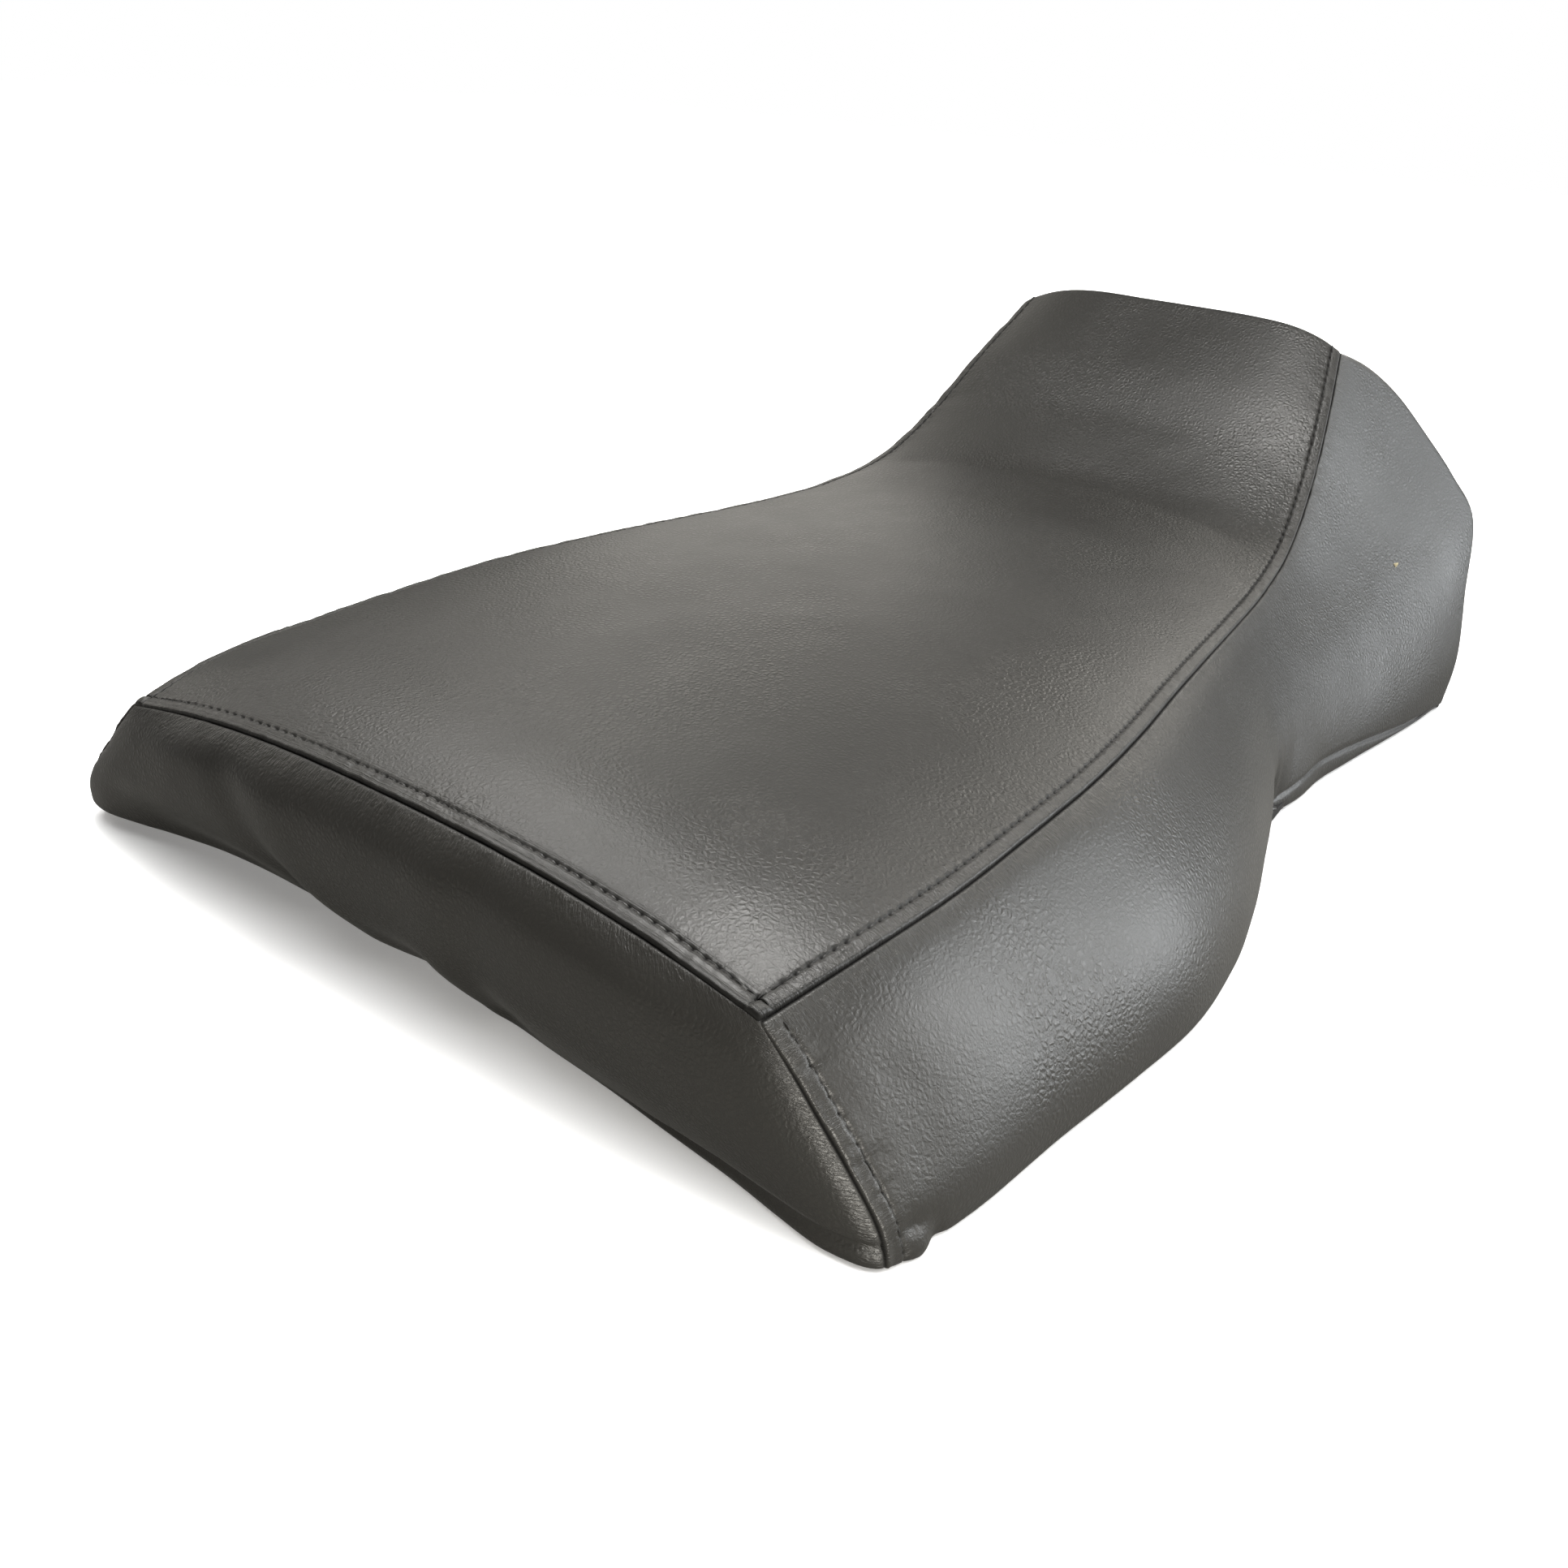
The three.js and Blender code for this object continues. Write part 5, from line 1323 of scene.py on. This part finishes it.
def metal(name, dull, bright, rough, stains):
    """Brushed metal with crystal spangle and stains."""
    mat = Shader(name)
    place = mat.coord()
    brush = mat.noise(mat.vector("MULTIPLY", place, (1.0, 0.05, 1.0)), scale=2200, rough=0.6)
    spangle = mat.voronoi(place, scale=420, feature="F1")["Distance"]
    stain = mat.ramp(mat.noise(place, scale=55, detail=5.0, rough=0.65), low=0.52, high=0.78)
    colour = mat.mix(mat.ramp(spangle, low=0.1, high=0.8), dull, bright)
    colour = mat.mix(mat.times(stain, stains), colour,
                     (dull[0] * 0.42, dull[1] * 0.36, dull[2] * 0.30))
    uneven = mat.plus(mat.times(brush, 0.15), mat.times(stain, 0.25))
    return mat.finish(Base_Color=colour, Metallic=1.0, Roughness=mat.plus(uneven, rough),
                      Normal=mat.bump(brush, distance=0.00004, strength=0.5))


# Metals: dull colour, bright colour, least roughness, strength of stains
METALS = {
    "zinc_hardware": ((0.62, 0.64, 0.68), (0.76, 0.77, 0.78), 0.27, 0.25),
    "bare_steel": ((0.36, 0.36, 0.38), (0.50, 0.50, 0.51), 0.33, 0.55),
    "insert_brass": ((0.60, 0.43, 0.17), (0.72, 0.54, 0.24), 0.28, 0.4),
    "staple_steel": ((0.58, 0.58, 0.60), (0.70, 0.70, 0.71), 0.3, 0.45),
}
MATERIALS = {
    "vinyl": vinyl(), "thread": thread(), "foam": foam_block_look(),
    "pan_plastic": plastic("pan_plastic", dark=0.012, grain_scale=1500),
    "grip_plastic": plastic("grip_plastic", dark=0.016, grain_scale=2400),
    "bumper_rubber": rubber(),
    **{name: metal(name, *look) for name, look in METALS.items()},
}
for cover in COVERS.values():
    paint(cover, "vinyl")
for row in THREADS:
    row.data.materials.append(MATERIALS["thread"])
STAPLES.data.materials.append(MATERIALS["staple_steel"])
slot_of = {part["node"]: part["material_slot"] for part in frame["record"]["subparts"]}
for node, part in frame["nodes"].items():
    paint(part, slot_of[node])


# ---------------------------------------------------------------- foam block
def foam_block():
    """The foam cushion, drawn in from the cover and made slightly ragged."""
    obj = add_object("foam_block", frame["nodes"]["foam_cushion"].data.copy())
    remesh = obj.modifiers.new("vox", "REMESH")
    remesh.mode, remesh.voxel_size = "VOXEL", 0.0045
    bake(obj)
    points = from_scene(read_coords(obj.data))
    normals = read_coords(obj.data, "normal")
    x, y, z = points.T
    waist_y = float(station(7.9).base_y)
    # deeper by the tail's foot, at the waist and near the base
    inset = 3.2 + 1.4 * ease(y, 60, 20) * ease(z, 30, 6)
    inset = inset + 7.5 * hump(y, waist_y, 22.0) * ease(z, 70, 20) + 2.0 * ease(z, 24, 4)
    ragged = 0.5 * noise(x / 7, y / 7, z / 7)
    write_coords(obj.data, to_scene(points - normals * (inset + ragged)[:, None]))
    shade_smooth(obj.data)
    paint(obj, "foam")
    declare(obj, ["foam_cushion"])


foam_block()

# ---------------------------------------------------------------- hard parts
# Bevel width by the start of the part's name
BEVELS = {"seat_pan": 0.6, "rubber_bumper": 0.9, "front_tongue": 0.7, "latch_bracket": 0.5,
          "latch_plate": 0.4, "latch_lever_grip": 1.4, "latch_pivot_bolt": 0.35,
          "latch_lock_nut": 0.35, "tongue_screw": 0.3, "latch_screw": 0.3,
          "tongue_insert": 0.2, "latch_insert": 0.2}


def lift_pan_foot(mesh):
    """Splits long edges by the tail so that the pan's foot can rise smoothly, and lifts it."""
    bm = bmesh.new()
    bm.from_mesh(mesh)
    for _ in range(6):
        long_edges = [e for e in bm.edges if e.calc_length() > 0.009
                      and min(v.co.y for v in e.verts) < 0.062 - MID_Y / 1000
                      and min(v.co.x for v in e.verts) < 0.045]
        if not long_edges:
            break
        bmesh.ops.subdivide_edges(bm, edges=long_edges, cuts=1)
        bmesh.ops.triangulate(bm, faces=[f for f in bm.faces if len(f.verts) > 3])
    bm.to_mesh(mesh)
    bm.free()
    write_coords(mesh, to_scene(from_scene(read_coords(mesh))))


def eased_part(node, bevel_width, body):
    """A copy of a CAD part, cleaned, bevelled and triangulated."""
    obj = add_object(node + "_made", frame["nodes"][node].data.copy())
    bm = bmesh.new()
    bm.from_mesh(obj.data)
    bmesh.ops.remove_doubles(bm, verts=bm.verts, dist=2e-6)
    bmesh.ops.recalc_face_normals(bm, faces=bm.faces)
    bmesh.ops.dissolve_limit(bm, angle_limit=math.radians(1.5), verts=bm.verts, edges=bm.edges)
    bm.to_mesh(obj.data)
    bm.free()
    bevel = obj.modifiers.new("ease", "BEVEL")
    bevel.width, bevel.segments = bevel_width / 1000, 2
    bevel.limit_method, bevel.angle_limit = "ANGLE", math.radians(32)
    bevel.use_clamp_overlap = True
    obj.modifiers.new("tri", "TRIANGULATE")
    bake(obj)
    if node == "seat_pan":
        lift_pan_foot(obj.data)
    shade_smooth(obj.data)
    obj.data.set_sharp_from_angle(angle=math.radians(40))
    paint(obj, slot_of[node])
    declare(obj, [node], body)


latch_nodes = set(frame["record"]["behaviour"]["bodies"]["latch"])
for node in sorted(frame["nodes"]):
    for start, bevel_width in BEVELS.items():
        if node.startswith(start):
            eased_part(node, bevel_width, "latch" if node in latch_nodes else "seat")


# ---------------------------------------------------------------- floor
def floor_material():
    """Pale to the camera with a glow that grows outwards, dim to bounced light, and clear
    from below so that the underside can be seen."""
    mat = Shader("floor")
    camera_ray = mat.node("ShaderNodeLightPath").outputs["Is Camera Ray"]
    seen, bounce = mat.node("ShaderNodeBsdfDiffuse"), mat.node("ShaderNodeBsdfDiffuse")
    mat.put(seen.inputs["Color"], (0.95, 0.95, 0.95, 1))
    mat.put(bounce.inputs["Color"], (0.115, 0.112, 0.104, 1))
    glow = mat.node("ShaderNodeEmission")
    radius = mat.node("ShaderNodeVectorMath", operation="LENGTH")
    mat.put(radius.inputs[0], mat.coord())
    outer = mat.ramp(radius.outputs["Value"], low=0.55, high=1.3)
    mat.put(glow.inputs["Strength"], mat.plus(mat.times(outer, 0.84), 0.16))
    lit = mat.node("ShaderNodeAddShader")
    mat.put(lit.inputs[0], seen.outputs[0])
    mat.put(lit.inputs[1], glow.outputs[0])
    above = mat.node("ShaderNodeMixShader")
    mat.put(above.inputs[0], camera_ray)
    mat.put(above.inputs[1], bounce.outputs[0])
    mat.put(above.inputs[2], lit.outputs[0])
    clear, both = mat.node("ShaderNodeBsdfTransparent"), mat.node("ShaderNodeMixShader")
    mat.put(both.inputs[0], mat.node("ShaderNodeNewGeometry").outputs["Backfacing"])
    mat.put(both.inputs[1], above.outputs[0])
    mat.put(both.inputs[2], clear.outputs[0])
    mat.put(mat.tree.nodes["Material Output"].inputs["Surface"], both.outputs[0])
    return mat.material


floor_mesh = bpy.data.meshes.new("floor")
floor_mesh.from_pydata([(-6, -6, 0), (6, -6, 0), (6, 6, 0), (-6, 6, 0)], [], [(0, 1, 2, 3)])
floor = add_object("floor", floor_mesh)
floor.data.materials.append(floor_material())
floor.location.z = -0.0004

# ---------------------------------------------------------------- lights, in metres and watts
WARM, NEUTRAL, COOL = (1.0, 0.965, 0.89), (1.0, 0.985, 0.955), (0.93, 0.97, 1.0)
MIDDLE = (0, 0, 0.05)
# Square area lights: name, place, aim, size, power, colour
LIGHTS = (
    ("rear_overhead", (0.1, -0.15, 1.0), (0.06, -0.2, 0.07), 0.46, 8.6, NEUTRAL),
    ("rear_left_over", (-0.30, -0.12, 0.60), (0.05, -0.25, 0.08), 0.26, 1.1, NEUTRAL),
    ("back_left_low", (-1.4, 1.7, 0.65), MIDDLE, 1.0, 4.4, WARM),
    ("back", (0.1, 2.0, 1.2), MIDDLE, 1.0, 10.0, WARM),
    ("back_high", (0.0, 1.6, 1.9), MIDDLE, 1.0, 3.5, WARM),
    ("back_right", (1.4, 1.3, 1.1), MIDDLE, 1.0, 11.0, COOL),
    ("back_right_low", (1.6, 1.3, 0.35), MIDDLE, 0.8, 13.5, COOL),
    ("right", (1.8, 0.1, 1.0), MIDDLE, 1.0, 5.0, NEUTRAL),
    ("near_side", (0.86, 0.26, 0.40), (0.18, 0.05, 0.05), 0.45, 1.8, NEUTRAL),
    ("left_high", (-1.5, 0.65, 1.25), MIDDLE, 1.0, 3.6, WARM),
    ("left_low", (-1.7, -0.2, 0.6), MIDDLE, 0.8, 3.2, WARM),
    ("front_low", (0.66, -0.70, 0.09), (0.17, -0.30, 0.015), 0.35, 6.5, WARM),
    ("floor_wash", (0.05, 0.05, 1.5), (0.0, 0.0, 0.0), 2.2, 62.0, (1, 1, 1)),
    ("underside", (0.1, -0.1, -1.2), (0, 0, 0), 0.9, 9.0, NEUTRAL),
)


def area_light(name, place, aim, size, power, colour):
    light = bpy.data.lights.new(name, "AREA")
    light.shape = "RECTANGLE"
    light.size, light.size_y = size, size
    light.energy, light.color = power, colour
    obj = add_object(name, light)
    obj.location = place
    obj.rotation_euler = (Vector(aim) - Vector(place)).to_track_quat("-Z", "Y").to_euler()
    obj.visible_camera = False
    return obj


def visible_group(name, wanted):
    """A collection of the wanted meshes among those the camera sees."""
    group = bpy.data.collections.new(name)
    for obj in list(bpy.data.objects):
        if obj.type == "MESH" and obj.visible_camera and wanted(obj):
            group.objects.link(obj)
    return group


lights = {row[0]: area_light(*row) for row in LIGHTS}
# the low light by the tail's right corner would only glare on the top at grazing angles
off_top = visible_group("off_top", lambda obj: obj is not cover_top)
lights["front_low"].light_linking.receiver_collection = off_top
# the wash lights the floor alone, keeping it pale with one soft shadow round the seat
only_floor = bpy.data.collections.new("only_floor")
only_floor.objects.link(floor)
lights["floor_wash"].light_linking.receiver_collection = only_floor
# the light below shows what is under the cover, and nothing else
below_parts = visible_group("below_parts", lambda obj: obj is not floor
                            and not obj.name.startswith(("cover_", "stitches_")))
lights["underside"].light_linking.receiver_collection = below_parts
lights["underside"].light_linking.blocker_collection = below_parts

# ---------------------------------------------------------------- world and camera
# White to the camera, faint as a light
world = bpy.data.worlds.new("studio")
world.use_nodes = True
background = world.node_tree.nodes["Background"]
ray = world.node_tree.nodes.new("ShaderNodeLightPath")
strength = world.node_tree.nodes.new("ShaderNodeMapRange")
strength.inputs["To Min"].default_value = 0.03
strength.inputs["To Max"].default_value = 1.0
world.node_tree.links.new(ray.outputs["Is Camera Ray"], strength.inputs["Value"])
world.node_tree.links.new(strength.outputs["Result"], background.inputs["Strength"])
background.inputs["Color"].default_value = (1, 1, 1, 1)
bpy.context.scene.world = world
bpy.context.scene.view_settings.view_transform = "Standard"

CAMERA_RIGHT = (0.78912, 0.61088, 0.0642)
CAMERA_UP = (-0.31204, 0.30865, 0.89853)
CAMERA_BACK = (0.52908, -0.72908, 0.43419)
CAMERA_PLACE = (0.35874, -0.27561 - MID_Y / 1000, 0.30405)
camera_data = bpy.data.cameras.new("camera")
camera_data.sensor_width = 36.0
camera_data.lens = 34.93
camera_data.clip_start = 0.01
camera = add_object("camera", camera_data)
camera.matrix_world = Matrix((*zip(CAMERA_RIGHT, CAMERA_UP, CAMERA_BACK, CAMERA_PLACE),
                              (0, 0, 0, 1)))
bpy.context.scene.camera = camera
